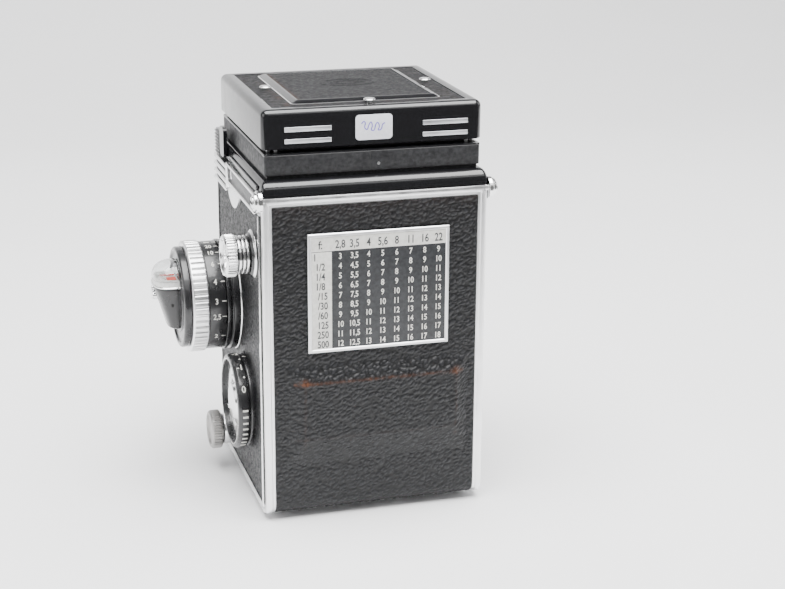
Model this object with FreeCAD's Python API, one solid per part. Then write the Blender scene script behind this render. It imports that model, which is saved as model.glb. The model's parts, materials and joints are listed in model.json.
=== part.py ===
"""Twin lens reflex camera for medium-format roll film, as an assembly of separate pieces.

Frame: +X is the side with the focusing knob, +Y is the rear (the hinged back), +Z is up.
The origin is the mouth of the tripod socket, on the plane that the camera rests on.
All sizes are in millimetres.
"""
import FreeCAD, Part
import math
import os

Vec = FreeCAD.Vector
X_AXIS = Vec(1, 0, 0)
Y_AXIS = Vec(0, 1, 0)
Z_AXIS = Vec(0, 0, 1)

# ---- driving dimensions: the body box ----
BODY_HALF_X = 40.1
BODY_FRONT_Y = -38.8
BODY_REAR_Y = 38.7
BODY_BOTTOM_Z = 2.0
BODY_TOP_Z = 118.5
WALL = 2.2
LEATHER = 0.6
GAP = 0.3
RUNNING = 0.05
PIN_REACH = 4.0

# ---- optics ----
TAKING_Z = 52.0
VIEWING_Z = 95.0
LENS_REAR_R = 13.0
GLASS_REAR_R = 10.6
BARREL_R = 17.0
BARREL_BORE_R = 14.2
BAYONET_R = 18.8
LENS_FRONT_Y = -66.0
BOARD_HALF_X = 34.2
BOARD_FRONT_Y = -45.5
BOARD_REAR_Y = -39.4
BOARD_LOW_Z = 27.0
BOARD_HIGH_Z = 111.0
SHUTTER_R = 21.0
SHUTTER_FRONT_Y = -49.5
WHEEL_X = 26.0
WHEEL_Z = 74.0
WHEEL_R = 9.0
MIRROR_OFFSET_Z = 97.0
FILM_Y = 33.0
GATE_HALF = 28.0

# ---- film path ----
SPOOL_R = 12.5
SPOOL_CORE_R = 5.6
SPOOL_HALF_X = 32.0
SPOOL_BORE_R = 2.5
SUPPLY_Y = -15.0
SUPPLY_Z = 16.4
TAKEUP_Y = 22.4
TAKEUP_Z = 95.3
ROLLER_R = 1.7
ROLLER_Y = 31.3
ROLLER_LOW_Z = 20.1
ROLLER_HIGH_Z = 83.9

# ---- winding crank and its gear train ----
GEAR_TEETH = 25
GEAR_MODULE = 0.7
GEAR_OUT_X = -37.2
GEAR_IN_X = -35.2
CRANK_Y = -4.0
CRANK_Z = 73.0
CRANK_SHAFT_R = 2.5
CRANK_PIN_X = -46.2
CRANK_REACH = 24.0

# ---- focusing knob ----
FOCUS_Y = -17.3
FOCUS_Z = 69.3
FOCUS_BASE_R = 20.5
FOCUS_DRUM_R = 20.0
FOCUS_GRIP_R = 20.6
FOCUS_CAP_R = 18.7
FOCUS_TRAVEL_DEG = 256.0
FOCUS_MM_PER_RAD = 1.559
CAM_START = 4.5
CAM_IN_X = 31.4
CAM_OUT_X = 33.8
CAM_SHAFT_R = 3.0
POST_R = 2.0

# ---- exposure meter on the knob ----
METER_FACE_X = 61.2
METER_DECK_Z = 75.0
METER_LOW_Z = 59.0
METER_HALF_Y = 9.6
METER_REACH = 9.1

# ---- film-speed correction dial ----
DIAL_Y = 6.7
DIAL_Z = 35.6
DIAL_R = 17.4
DIAL_FACE_R = 15.0

# ---- back door ----
HINGE_Y = 37.3
HINGE_Z = 117.6
HINGE_R = 1.4
DOOR_IN_Y = 35.9
DOOR_FLOOR_Z = 3.4
DOOR_SEAM_Y = 33.4
HINGE_PIN_R = 0.8
FRAME_WIDTH = 3.3
CORNER_R = 5.0
LEATHER_DEPTH = 0.5
LEATHER_RISE = 0.2
LEATHER_TOP_Z = 113.6
LEATHER_FRONT_Y = 32.6
HUMP_FOOT = (-34.0, 33.5, 20.0, 60.0)
HUMP_TOP = (-29.5, 26.0, 30.0, 52.0)
HUMP_RISE = 2.6
TABLE_CENTRE_X = -0.8
TABLE_HALF_X = 25.4
TABLE_LOW_Z = 62.6
TABLE_HIGH_Z = 105.5

# ---- hood ----
DECK_TOP_Z = 124.3
DECK_STEP_Z = 122.3
HOOD_BASE_TOP_Z = 133.0
LID_BOTTOM_Z = 134.5
LID_TOP_Z = 148.0
LID_HALF_X = 38.95
LID_FRONT_Y = -39.0
LID_REAR_Y = 34.8
LID_HINGE_Y = -37.9
LID_HINGE_Z = 134.2
FLAP_Z = 134.0
FLAP_THICK = 0.8
SIDE_FLAP_X = 36.0
SIDE_FLAP_REACH = 35.4
REAR_FLAP_Y = 32.0
REAR_FLAP_REACH = 30.0

# strap rails
RAIL_DEPTH = 1.9
RAIL_FRONT_Y = -14.5
RAIL_REAR_Y = 33.0
RAIL_LOW_Z = 112.3
RIB_FLOOR = 0.9
RIB_PITCH = 2.8
RIB_GAP = 1.1
RIB_COUNT = 3
TAB_R = 12.5
TAB_Y = -6.5
TAB_Z = 117.3
BLOCK_FRONT_Y = -38.2
BLOCK_LOW_Z = 108.6
POST_REAR_Y = -28.8
POST_TOP_Z = 128.0

# release, flash socket, self-timer, hood catch, tripod socket and latch
SCREEN_LOW_Z = 119.6
RELEASE_X = 32.5
RELEASE_Z = 14.0
CABLE_THREAD_R = 1.5
FLASH_BORE_R = 1.9
TIMER_X = 25.0
TIMER_Z = 39.0
CATCH_Y = -23.0
CATCH_Z = 121.0
SOCKET_R = 7.5
LATCH_R = 14.0
TRIPOD_THREAD_R = 2.6
FOOT_X = 34.0
FOOT_Y = 29.0
FOOT_R = 3.0


# ---- small helpers ----
def box(x0, x1, y0, y1, z0, z1):
    return Part.makeBox(x1 - x0, y1 - y0, z1 - z0, Vec(x0, y0, z0))


def rod_x(radius, x0, x1, y, z):
    return Part.makeCylinder(radius, x1 - x0, Vec(x0, y, z), X_AXIS)


def rod_y(radius, y0, y1, x, z):
    return Part.makeCylinder(radius, y1 - y0, Vec(x, y0, z), Y_AXIS)


def rod_z(radius, z0, z1, x, y):
    return Part.makeCylinder(radius, z1 - z0, Vec(x, y, z0), Z_AXIS)


def joined(shapes):
    first, rest = shapes[0], shapes[1:]
    return first.fuse(rest).removeSplitter() if rest else first


def less(shape, cutters):
    return shape.cut(cutters).removeSplitter()


def edges_along(shape, axis):
    found = []
    for edge in shape.Edges:
        ends = [v.Point for v in edge.Vertexes]
        if len(ends) == 2:
            run = ends[1].sub(ends[0])
            if abs(run.dot(axis)) > 0.999 * run.Length:
                found.append(edge)
    return found


def edges_at(shape, axis, level):
    found = []
    for edge in shape.Edges:
        middle = edge.BoundBox.Center
        flat = abs(getattr(edge.BoundBox, axis + "Length")) < 1e-4
        if flat and abs(getattr(middle, axis.lower()) - level) < 1e-3:
            found.append(edge)
    return found


def prism(points, run):
    """A prism whose base goes through the points, pushed along the vector run."""
    return Part.Face(Part.makePolygon(points + [points[0]])).extrude(run)


def fluted_rod(radius, depth, count, x0, x1, y, z):
    """A round rod along X with shallow round flutes along its rim."""
    pitch = 2 * math.pi / count
    half = 0.3 * pitch

    def spot(r, angle):
        return Vec(x0, y + r * math.cos(angle), z + r * math.sin(angle))

    edges = []
    for k in range(count):
        a = k * pitch
        edges.append(Part.Arc(spot(radius, a - pitch + half), spot(radius, a - pitch / 2),
                              spot(radius, a - half)).toShape())
        edges.append(Part.Arc(spot(radius, a - half), spot(radius - depth, a),
                              spot(radius, a + half)).toShape())
    return Part.Face(Part.Wire(edges)).extrude(Vec(x1 - x0, 0, 0))


def fluted_wheel(radius, depth, count, y0, y1, x, z):
    """The same fluted rod, turned so that it lies along Y."""
    wheel = fluted_rod(radius, depth, count, y0, y1, 0, 0)
    wheel.rotate(Vec(0, 0, 0), Z_AXIS, 90)
    wheel.translate(Vec(x, 0, z))
    return wheel


def gear(y, z, phase):
    """An involute spur gear along X between GEAR_OUT_X and GEAR_IN_X."""
    pressure = math.radians(20)
    pitch_r = GEAR_MODULE * GEAR_TEETH / 2
    base_r = pitch_r * math.cos(pressure)
    tip_r = pitch_r + 0.95 * GEAR_MODULE
    root_r = pitch_r - 1.25 * GEAR_MODULE
    backlash = 0.14
    half = math.pi / (2 * GEAR_TEETH) - backlash / (2 * pitch_r)
    half += math.tan(pressure) - pressure
    flank = []
    steps = 5
    for i in range(steps + 1):
        r = base_r + (tip_r - base_r) * i / steps
        roll = math.acos(base_r / r)
        flank.append((r, half - (math.tan(roll) - roll)))
    outline = [(root_r, flank[0][1])] + flank
    points = []
    for k in range(GEAR_TEETH):
        middle = phase + k * 2 * math.pi / GEAR_TEETH
        tooth = [(r, middle - a) for r, a in outline] + [(r, middle + a) for r, a in reversed(outline)]
        for r, angle in tooth:
            points.append(Vec(GEAR_OUT_X, y + r * math.cos(angle), z + r * math.sin(angle)))
    return prism(points, Vec(GEAR_IN_X - GEAR_OUT_X, 0, 0))


def gear_train():
    """Centres and phases of the three equal gears: crank, idler, take-up."""
    apart = GEAR_MODULE * GEAR_TEETH
    pitch = 2 * math.pi / GEAR_TEETH
    dy, dz = TAKEUP_Y - CRANK_Y, TAKEUP_Z - CRANK_Z
    span = math.hypot(dy, dz)
    rise = math.sqrt(apart ** 2 - (span / 2) ** 2)
    idler_y = (CRANK_Y + TAKEUP_Y) / 2 - rise * dz / span
    idler_z = (CRANK_Z + TAKEUP_Z) / 2 + rise * dy / span
    to_idler = math.atan2(idler_z - CRANK_Z, idler_y - CRANK_Y)
    to_spool = math.atan2(TAKEUP_Z - idler_z, TAKEUP_Y - idler_y)
    idler_phase = to_idler + math.pi + pitch / 2
    offset = (idler_phase - to_spool) % pitch
    spool_phase = to_spool + math.pi - offset + pitch / 2
    return [(CRANK_Y, CRANK_Z, to_idler), (idler_y, idler_z, idler_phase),
            (TAKEUP_Y, TAKEUP_Z, spool_phase)]


# ---- body ----
def body_casting():
    """The die-cast body: four walls, the film gate and the baffle under the light path."""
    wall_in = BODY_HALF_X - WALL
    front_in = BODY_FRONT_Y + WALL
    rear = DOOR_IN_Y - GAP
    shell = box(-BODY_HALF_X, BODY_HALF_X, BODY_FRONT_Y, rear, DOOR_FLOOR_Z + GAP, BODY_TOP_Z)
    hollow = box(-wall_in, wall_in, front_in, rear + 1, DOOR_FLOOR_Z, BODY_TOP_Z + 1)
    sill = box(-BODY_HALF_X, BODY_HALF_X, BODY_FRONT_Y, front_in, BODY_BOTTOM_Z, DOOR_FLOOR_Z + 1)
    gate_low = ROLLER_LOW_Z + ROLLER_R + GAP
    gate_high = ROLLER_HIGH_Z - ROLLER_R - GAP
    gate = box(-wall_in, wall_in, FILM_Y - WALL, FILM_Y, gate_low, gate_high)
    window = box(-GATE_HALF, GATE_HALF, FILM_Y - 5, FILM_Y + 1,
                 TAKING_Z - GATE_HALF, TAKING_Z + GATE_HALF)
    baffle_in = 37.5
    baffle = prism([Vec(-wall_in, front_in, baffle_in), Vec(-wall_in, FILM_Y - WALL, gate_low),
                    Vec(-wall_in, FILM_Y - WALL, gate_low + 1.2), Vec(-wall_in, front_in, baffle_in + 1.2)],
                   Vec(2 * wall_in, 0, 0))
    supply_pin = rod_x(SPOOL_BORE_R - 2 * RUNNING, -wall_in, -SPOOL_HALF_X + 2.5, SUPPLY_Y, SUPPLY_Z)
    roller_ears = []
    for side in (-1, 1):
        for z in (ROLLER_LOW_Z, ROLLER_HIGH_Z):
            x0, x1 = sorted((side * 33.3, side * wall_in))
            roller_ears.append(box(x0, x1, ROLLER_Y - 2.4, ROLLER_Y + 2.4, z - 2.4, z + 2.4))
    metal = joined([less(shell, [hollow]), sill, less(gate, [window]), baffle, supply_pin] + roller_ears)
    cuts = [rod_y(LENS_REAR_R + GAP, BODY_FRONT_Y - 1, front_in + 1, 0, z) for z in (TAKING_Z, VIEWING_Z)]
    for side in (-1, 1):
        x0, x1 = sorted((side * (CAM_IN_X - GAP), side * (CAM_OUT_X + GAP)))
        cuts.append(box(x0, x1, BODY_FRONT_Y - 1, front_in + 1, FOCUS_Z - 3.6, FOCUS_Z + 3.6))
        for z in (ROLLER_LOW_Z, ROLLER_HIGH_Z):
            a, b = sorted((side * 33, side * 35.3))
            cuts.append(rod_x(1.0 + RUNNING, a, b, ROLLER_Y, z))
    cuts.append(rod_x(CAM_SHAFT_R + RUNNING, wall_in - 1, BODY_HALF_X + 1, FOCUS_Y, FOCUS_Z))
    cuts.append(rod_x(POST_R, -wall_in - 1.4, -wall_in + 1, FOCUS_Y, FOCUS_Z))
    for y, z in ((SUPPLY_Y, SUPPLY_Z), (TAKEUP_Y, TAKEUP_Z)):
        cuts.append(rod_x(SPOOL_BORE_R, wall_in - 1, BODY_HALF_X + 1, y, z))
    crank, idler, spool = gear_train()
    cuts.append(rod_x(CRANK_SHAFT_R + RUNNING, -BODY_HALF_X - 1, -wall_in + 1, crank[0], crank[1]))
    for y, z, _ in (idler, spool):
        cuts.append(rod_x(POST_R + RUNNING, -wall_in - 1.5, -wall_in + 1, y, z))
    cuts.append(rod_y(2.0 + RUNNING, BODY_FRONT_Y - 1, front_in + 1, -RELEASE_X, RELEASE_Z))
    return less(metal, cuts)


def top_deck():
    """The glossy deck between the body and the hood, with the seat of the focusing screen."""
    low = box(-BODY_HALF_X, BODY_HALF_X, BODY_FRONT_Y, DOOR_IN_Y - GAP, BODY_TOP_Z, DECK_STEP_Z)
    lip_low = HINGE_Z + HINGE_R + 0.15
    lip = box(-BODY_HALF_X, BODY_HALF_X, DOOR_IN_Y - 1, BODY_REAR_Y + 0.1, lip_low, DECK_STEP_Z)
    high = box(-BODY_HALF_X + 0.8, BODY_HALF_X - 0.8, BODY_FRONT_Y + 0.6, BODY_REAR_Y - 0.3,
               DECK_STEP_Z - 1, DECK_TOP_Z)
    deck = joined([low, lip, high])
    light = box(-27, 27, -28, 24, BODY_TOP_Z - 1, DECK_TOP_Z + 1)
    seat = box(-29, 29, -30, 26, SCREEN_LOW_Z, DECK_TOP_Z + 1)
    lever_bore = rod_x(1.2, BODY_HALF_X - 4, BODY_HALF_X + 1, CATCH_Y, CATCH_Z)
    return less(deck, [light, seat, lever_bore])


def focusing_screen():
    return box(-28.8, 28.8, -29.8, 25.8, SCREEN_LOW_Z, SCREEN_LOW_Z + 1.6)


def mirror_slab(depth0, depth1, half_x, y0, y1):
    """A slab at 45 degrees, measured by its depth behind the reflecting plane."""
    shift0, shift1 = depth0 * math.sqrt(0.5), depth1 * math.sqrt(0.5)
    corners = [(y0 + shift0, y0 + MIRROR_OFFSET_Z - shift0), (y1 + shift0, y1 + MIRROR_OFFSET_Z - shift0),
               (y1 + shift1, y1 + MIRROR_OFFSET_Z - shift1), (y0 + shift1, y0 + MIRROR_OFFSET_Z - shift1)]
    return prism([Vec(-half_x, y, z) for y, z in corners], Vec(2 * half_x, 0, 0))


def reflex_mirror():
    return mirror_slab(0, 1.6, 26.0, -25.0, 19.0)


def mirror_cradle():
    """The sheet behind the mirror, with an ear at each side that reaches the body walls."""
    sheet = mirror_slab(1.6, 2.8, 28.5, -26.0, 19.5)
    ears = [mirror_slab(1.6, 2.8, BODY_HALF_X - WALL, 4.0, 12.0)]
    return joined([sheet] + ears)


def side_leathers():
    """The leather panels glued to the two sides, cut round the knobs."""
    skins = []
    for side in (-1, 1):
        x0, x1 = sorted((side * BODY_HALF_X, side * (BODY_HALF_X + LEATHER)))
        skin = box(x0, x1, BODY_FRONT_Y + 1.8, DOOR_IN_Y - 1.9, 6.6, 111.4)
        reach = BODY_HALF_X + 2
        if side > 0:
            spots = [(FOCUS_Y, FOCUS_Z, FOCUS_BASE_R), (DIAL_Y, DIAL_Z, DIAL_R),
                     (TAKEUP_Y, TAKEUP_Z, 8.3), (SUPPLY_Y, SUPPLY_Z, 7.2), (TAB_Y, TAB_Z, TAB_R)]
        else:
            spots = [(CRANK_Y, CRANK_Z, CRANK_SHAFT_R + 0.4), (TAB_Y, TAB_Z, TAB_R)]
        inside, outside = sorted((0, side * reach))
        cuts = [rod_x(r + 0.2, inside, outside, y, z) for y, z, r in spots]
        skins.append(less(skin, cuts + [box(x0, x1, -39, -14.4, 108.4, 120)]))
    return Part.makeCompound(skins)


def side_trims():
    """The plated beads round the two leather panels: rear, bottom and front."""
    beads = []
    for side in (-1, 1):
        x0, x1 = sorted((side * BODY_HALF_X, side * (BODY_HALF_X + 0.8)))
        rear = box(x0, x1, DOOR_IN_Y - 1.7, DOOR_IN_Y - 0.9, 5.0, 112.0)
        foot = box(x0, x1, BODY_FRONT_Y + 0.3, DOOR_IN_Y - 0.9, 5.0, 6.4)
        front = box(x0, x1, BODY_FRONT_Y + 0.3, BODY_FRONT_Y + 1.6, 5.0, 108.3)
        bead = joined([rear, foot, front])
        if side > 0:
            bead = less(bead, [rod_x(FOCUS_BASE_R + 0.2, x0 - 1, x1 + 1, FOCUS_Y, FOCUS_Z)])
        beads.append(bead)
    return Part.makeCompound(beads)


def strap_rails():
    """The strap fittings: a plated rail with a half-round tab and a ribbed block at its front."""
    rails = []
    for side in (-1, 1):
        def slab(low, high, y0, y1, z0, z1, side=side):
            x0, x1 = sorted((side * (BODY_HALF_X + low), side * (BODY_HALF_X + high)))
            return box(x0, x1, y0, y1, z0, z1)

        rail = slab(0, RAIL_DEPTH, RAIL_FRONT_Y, RAIL_REAR_Y, RAIL_LOW_Z, DECK_STEP_Z - 0.1)
        channel_z = RAIL_LOW_Z + 1.3
        channel = slab(RIB_FLOOR, 3, RAIL_FRONT_Y + 2.5, RAIL_REAR_Y - 1.5, channel_z, channel_z + 5.0)
        tab0, tab1 = sorted((side * BODY_HALF_X, side * (BODY_HALF_X + 1.1)))
        tab = rod_x(TAB_R, tab0, tab1, TAB_Y, TAB_Z).common(slab(0, 1.1, -20, 8, 100, TAB_Z))
        block = slab(0, RAIL_DEPTH, BLOCK_FRONT_Y, RAIL_FRONT_Y - 0.1, BLOCK_LOW_Z, BODY_TOP_Z)
        post = slab(0, 1.6, BLOCK_FRONT_Y, POST_REAR_Y, BODY_TOP_Z, POST_TOP_Z)
        root = slab(-0.7, 0, BLOCK_FRONT_Y, POST_REAR_Y, DECK_TOP_Z, POST_TOP_Z)
        grooves = []
        for k in range(RIB_COUNT):
            low, high = BLOCK_LOW_Z + 1.6 + RIB_PITCH * k, BODY_TOP_Z + 0.1 + RIB_PITCH * k
            grooves.append(slab(RIB_FLOOR, 3, -39, RAIL_FRONT_Y - 1.9, low, low + RIB_GAP))
            grooves.append(slab(RIB_FLOOR, 3, -39, POST_REAR_Y + 0.8, high, high + RIB_GAP))
        rails.append(less(joined([rail, tab, block, post, root]), [channel] + grooves))
    return Part.makeCompound(rails)


def door_hinge_caps():
    """The two stepped caps beside the deck whose pins carry the back."""
    caps = []
    for side in (-1, 1):
        inner = BODY_HALF_X + 0.25
        steps = [(4.0, inner, inner + 1.5), (3.2, inner + 1.5, inner + 2.5), (2.2, inner + 2.5, inner + 3.2),
                 (HINGE_PIN_R, BODY_HALF_X - PIN_REACH, inner)]
        solids = [rod_x(r, *sorted((side * a, side * b)), HINGE_Y, HINGE_Z) for r, a, b in steps]
        x0, x1 = sorted((side * BODY_HALF_X, side * (inner + 0.5)))
        solids.append(box(x0, x1, 34.0, DOOR_IN_Y - GAP, HINGE_Z - 2.5, HINGE_Z + 2.5))
        caps.append(joined(solids))
    return Part.makeCompound(caps)


def meter_cell():
    """The honeycomb window of the light meter, above the viewing lens."""
    frame = box(-28, 28, -41.4, BODY_FRONT_Y, 114.8, 123.6)
    lens = box(-26.6, 26.6, -42, -40.4, 116.0, 122.4)
    ribs = [box(-26.6 + 3.8 * k, -26.1 + 3.8 * k, -41.2, -40.4, 116.0, 122.4) for k in range(1, 14)]
    return joined([less(frame, [lens])] + ribs)


def spool_collars():
    """The two grooved collars that guide the spool knobs."""
    upper = [rod_x(8.3, BODY_HALF_X, 41.3, TAKEUP_Y, TAKEUP_Z), rod_x(7.4, 41.3, 42.2, TAKEUP_Y, TAKEUP_Z),
             rod_x(5.9, 42.2, 46.2, TAKEUP_Y, TAKEUP_Z)]
    for k in range(3):
        upper.append(rod_x(6.8, 42.2 + 1.4 * k, 43.1 + 1.4 * k, TAKEUP_Y, TAKEUP_Z))
    lower = [rod_x(7.2, BODY_HALF_X, 41.2, SUPPLY_Y, SUPPLY_Z), rod_x(5.8, 41.2, 45.9, SUPPLY_Y, SUPPLY_Z)]
    bores = [rod_x(SPOOL_BORE_R, 39, 47, y, z)
             for y, z in ((TAKEUP_Y, TAKEUP_Z), (SUPPLY_Y, SUPPLY_Z))]
    return Part.makeCompound([less(joined(upper), bores), less(joined(lower), bores)])


# ---- film transport ----
def spool(y, z):
    core = rod_x(SPOOL_CORE_R, -SPOOL_HALF_X, SPOOL_HALF_X, y, z)
    flanges = [rod_x(SPOOL_R, -SPOOL_HALF_X, -SPOOL_HALF_X + 1, y, z),
               rod_x(SPOOL_R, SPOOL_HALF_X - 1, SPOOL_HALF_X, y, z)]
    bores = [rod_x(SPOOL_BORE_R, -SPOOL_HALF_X - 1, -SPOOL_HALF_X + 4, y, z),
             rod_x(SPOOL_BORE_R, SPOOL_HALF_X - 4, SPOOL_HALF_X + 1, y, z)]
    slot = box(-12, 12, y - 0.7, y + 0.7, z - SPOOL_CORE_R - 1, z + SPOOL_CORE_R + 1)
    return less(joined([core] + flanges), bores + [slot])


def roller(z):
    return joined([rod_x(ROLLER_R, -33.0, 33.0, ROLLER_Y, z), rod_x(1.0, -35.0, 35.0, ROLLER_Y, z)])


def spool_knob(radius, y, z, x0, x1):
    head = fluted_rod(radius, 0.35, 44, x0, x1 - 0.5, y, z)
    rim = rod_x(radius - 0.4, x1 - 0.5, x1, y, z)
    dish = rod_x(radius - 1.6, x1 - 1.0, x1 + 1, y, z)
    stem = rod_x(SPOOL_BORE_R - RUNNING, SPOOL_HALF_X - 2.5, x0, y, z)
    return joined([less(joined([head, rim]), [dish]), stem])


def crank_hub():
    """The crank's shaft with its gear inside the body and its hinge fork outside."""
    y, z, phase = gear_train()[0]
    shaft = rod_x(CRANK_SHAFT_R, -41.0, GEAR_IN_X, y, z)
    disc = rod_x(8.0, -43.4, -41.0, y, z)
    ears = [box(-47.2, -43.4, y - 2.0, y + 2.0, z + a, z + b) for a, b in ((-5.0, -3.2), (3.2, 5.0))]
    pin = rod_z(0.9, z - 4, z + 4, CRANK_PIN_X, y)
    return joined([gear(y, z, phase), shaft, disc] + ears + [pin])


def crank_arm():
    """The folding arm, stowed flat along the side with its handle turned inward."""
    tip_y = CRANK_Y - CRANK_REACH
    bar = box(-47.1, -45.3, tip_y, CRANK_Y, CRANK_Z - 2.8, CRANK_Z + 2.8)
    tip = rod_x(2.8, -47.1, -45.3, tip_y, CRANK_Z)
    knuckle = rod_z(1.8, CRANK_Z - 2.8, CRANK_Z + 2.8, CRANK_PIN_X, CRANK_Y)
    pin = rod_x(1.2, -45.3, -41.8, tip_y, CRANK_Z)
    bore = rod_z(0.9 + RUNNING, CRANK_Z - 4, CRANK_Z + 4, CRANK_PIN_X, CRANK_Y)
    return joined([less(joined([bar, tip, knuckle]), [bore]), pin])


def crank_handle():
    tip_y = CRANK_Y - CRANK_REACH
    grip = fluted_rod(3.4, 0.25, 20, -45.1, -41.4, tip_y, CRANK_Z)
    return less(grip, [rod_x(1.2 + RUNNING, -46, -41.7, tip_y, CRANK_Z)])


def idler_gear():
    y, z, phase = gear_train()[1]
    return joined([gear(y, z, phase), rod_x(POST_R, -39.2, GEAR_OUT_X, y, z)])


def spool_gear():
    y, z, phase = gear_train()[2]
    return joined([gear(y, z, phase), rod_x(POST_R, -39.2, GEAR_OUT_X, y, z),
                   rod_x(SPOOL_BORE_R, -SPOOL_HALF_X, -SPOOL_HALF_X + 2.5, y, z),
                   rod_x(SPOOL_BORE_R, GEAR_IN_X, -SPOOL_HALF_X, y, z)])


# ---- focusing ----
def focus_base_ring():
    steps = [(FOCUS_BASE_R, BODY_HALF_X, 43.4), (FOCUS_BASE_R - 0.8, 43.4, 44.0), (FOCUS_BASE_R, 44.0, 45.7)]
    ring = joined([rod_x(r, a, b, FOCUS_Y, FOCUS_Z) for r, a, b in steps])
    return less(ring, [rod_x(CAM_SHAFT_R + 0.4, 39, 47, FOCUS_Y, FOCUS_Z)])


def focus_drum():
    drum = rod_x(FOCUS_DRUM_R, 46.0, 52.1, FOCUS_Y, FOCUS_Z)
    return less(drum, [rod_x(CAM_SHAFT_R, 45, 53, FOCUS_Y, FOCUS_Z)])


def focus_grip_ring():
    grip = fluted_rod(FOCUS_GRIP_R, 0.45, 52, 52.1, 58.2, FOCUS_Y, FOCUS_Z)
    return less(grip, [rod_x(CAM_SHAFT_R, 52, 59, FOCUS_Y, FOCUS_Z)])


def focus_cam(x0, x1):
    """A spiral cam: its reach towards -Y grows by FOCUS_MM_PER_RAD as the knob turns."""
    steps = 64
    points = []
    for i in range(steps + 1):
        turn = math.radians(FOCUS_TRAVEL_DEG) * i / steps
        reach = CAM_START + FOCUS_MM_PER_RAD * turn
        normal = (-math.cos(turn), math.sin(turn))
        along = (math.sin(turn), math.cos(turn))
        points.append(Vec(x0, FOCUS_Y + reach * normal[0] + FOCUS_MM_PER_RAD * along[0],
                          FOCUS_Z + reach * normal[1] + FOCUS_MM_PER_RAD * along[1]))
    return prism(points, Vec(x1 - x0, 0, 0))


def focus_camshaft():
    """The hollow shaft through the body that carries a spiral cam at each end."""
    shaft = rod_x(CAM_SHAFT_R, -34.4, 58.2, FOCUS_Y, FOCUS_Z)
    cams = [focus_cam(-CAM_OUT_X, -CAM_IN_X), focus_cam(CAM_IN_X, CAM_OUT_X)]
    return less(joined([shaft] + cams), [rod_x(POST_R + RUNNING, -36, 60, FOCUS_Y, FOCUS_Z)])


# ---- exposure meter ----
def half_round(x, half_y, reach, z):
    """A face at height z, flat towards the knob and round outwards."""
    low, high = Vec(x, FOCUS_Y - half_y, z), Vec(x, FOCUS_Y + half_y, z)
    arc = Part.Arc(low, Vec(x + reach, FOCUS_Y, z), high).toShape()
    return Part.Wire([arc, Part.LineSegment(high, low).toShape()])


def meter_housing():
    """The fixed knob cap with its axle through the camera and the wedge that holds the meter."""
    cap = rod_x(FOCUS_CAP_R, 58.5, METER_FACE_X, FOCUS_Y, FOCUS_Z)
    recess = rod_x(FOCUS_CAP_R - 2.2, METER_FACE_X - 0.8, METER_FACE_X + 1, FOCUS_Y, FOCUS_Z)
    centre = rod_x(12.5, METER_FACE_X - 1.2, METER_FACE_X, FOCUS_Y, FOCUS_Z)
    post = rod_x(POST_R, -BODY_HALF_X + 1.0, 59, FOCUS_Y, FOCUS_Z)
    back_x = METER_FACE_X - 0.6
    wedge = Part.makeLoft([half_round(back_x, METER_HALF_Y - 2.6, 3.4, METER_LOW_Z),
                           half_round(back_x, METER_HALF_Y, METER_REACH + 0.6, METER_DECK_Z)], True, True)
    return joined([less(cap, [recess]), centre, post, wedge])


def meter_dome():
    """The clear window over the meter scale: part of a hollow ball."""
    centre = Vec(METER_FACE_X, FOCUS_Y, METER_DECK_Z - 0.6)
    ball = Part.makeSphere(METER_HALF_Y - 0.2, centre)
    inner = Part.makeSphere(METER_HALF_Y - 1.0, centre)
    keep = box(METER_FACE_X + 0.05, METER_FACE_X + 20, FOCUS_Y - 20, FOCUS_Y + 20,
               METER_DECK_Z + 0.05, METER_DECK_Z + 20)
    return ball.cut(inner).common(keep)


def meter_needle():
    pivot_x = METER_FACE_X + 1.6
    hub = rod_z(0.8, METER_DECK_Z + 0.6, METER_DECK_Z + 1.4, pivot_x, FOCUS_Y)
    arm = box(pivot_x, pivot_x + 5.0, FOCUS_Y - 0.3, FOCUS_Y + 0.3, METER_DECK_Z + 0.7, METER_DECK_Z + 1.1)
    return joined([hub, arm])


# ---- correction dial ----
def correction_dial_base():
    foot = rod_x(DIAL_R - 0.5, BODY_HALF_X, 42.3, DIAL_Y, DIAL_Z)
    drum = rod_x(DIAL_FACE_R, 42.3, 45.0, DIAL_Y, DIAL_Z)
    boss = rod_x(5.5, 45.0, 46.0, DIAL_Y, DIAL_Z)
    return joined([foot, drum, boss])


def correction_dial():
    ring = rod_x(DIAL_R, 42.6, 46.7, DIAL_Y, DIAL_Z)
    return less(ring, [rod_x(DIAL_FACE_R + RUNNING, 42, 47, DIAL_Y, DIAL_Z)])


# ---- lens standard ----
def lens_board():
    """The moving front plate with the two rails that follow the focusing cams."""
    plate = box(-BOARD_HALF_X, BOARD_HALF_X, BOARD_FRONT_Y, BOARD_REAR_Y, BOARD_LOW_Z, BOARD_HIGH_Z)
    plate = plate.makeFillet(7.0, edges_along(plate, Y_AXIS))
    follower_y = FOCUS_Y - CAM_START - RUNNING
    rails = []
    for side in (-1, 1):
        x0, x1 = sorted((side * CAM_IN_X, side * CAM_OUT_X))
        rails.append(box(x0, x1, BOARD_REAR_Y - 1, follower_y, FOCUS_Z - 3.2, FOCUS_Z + 3.2))
    holes = [rod_y(LENS_REAR_R, BOARD_FRONT_Y - 1, BOARD_REAR_Y + 1, 0, z) for z in (TAKING_Z, VIEWING_Z)]
    for x in (-WHEEL_X, WHEEL_X):
        holes.append(rod_y(POST_R + RUNNING, BOARD_FRONT_Y - 1, BOARD_FRONT_Y + 4, x, WHEEL_Z))
    holes.append(rod_y(1.5 + RUNNING, BOARD_FRONT_Y - 1, BOARD_FRONT_Y + 4, -TIMER_X, TIMER_Z))
    return less(joined([plate] + rails), holes)


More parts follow.
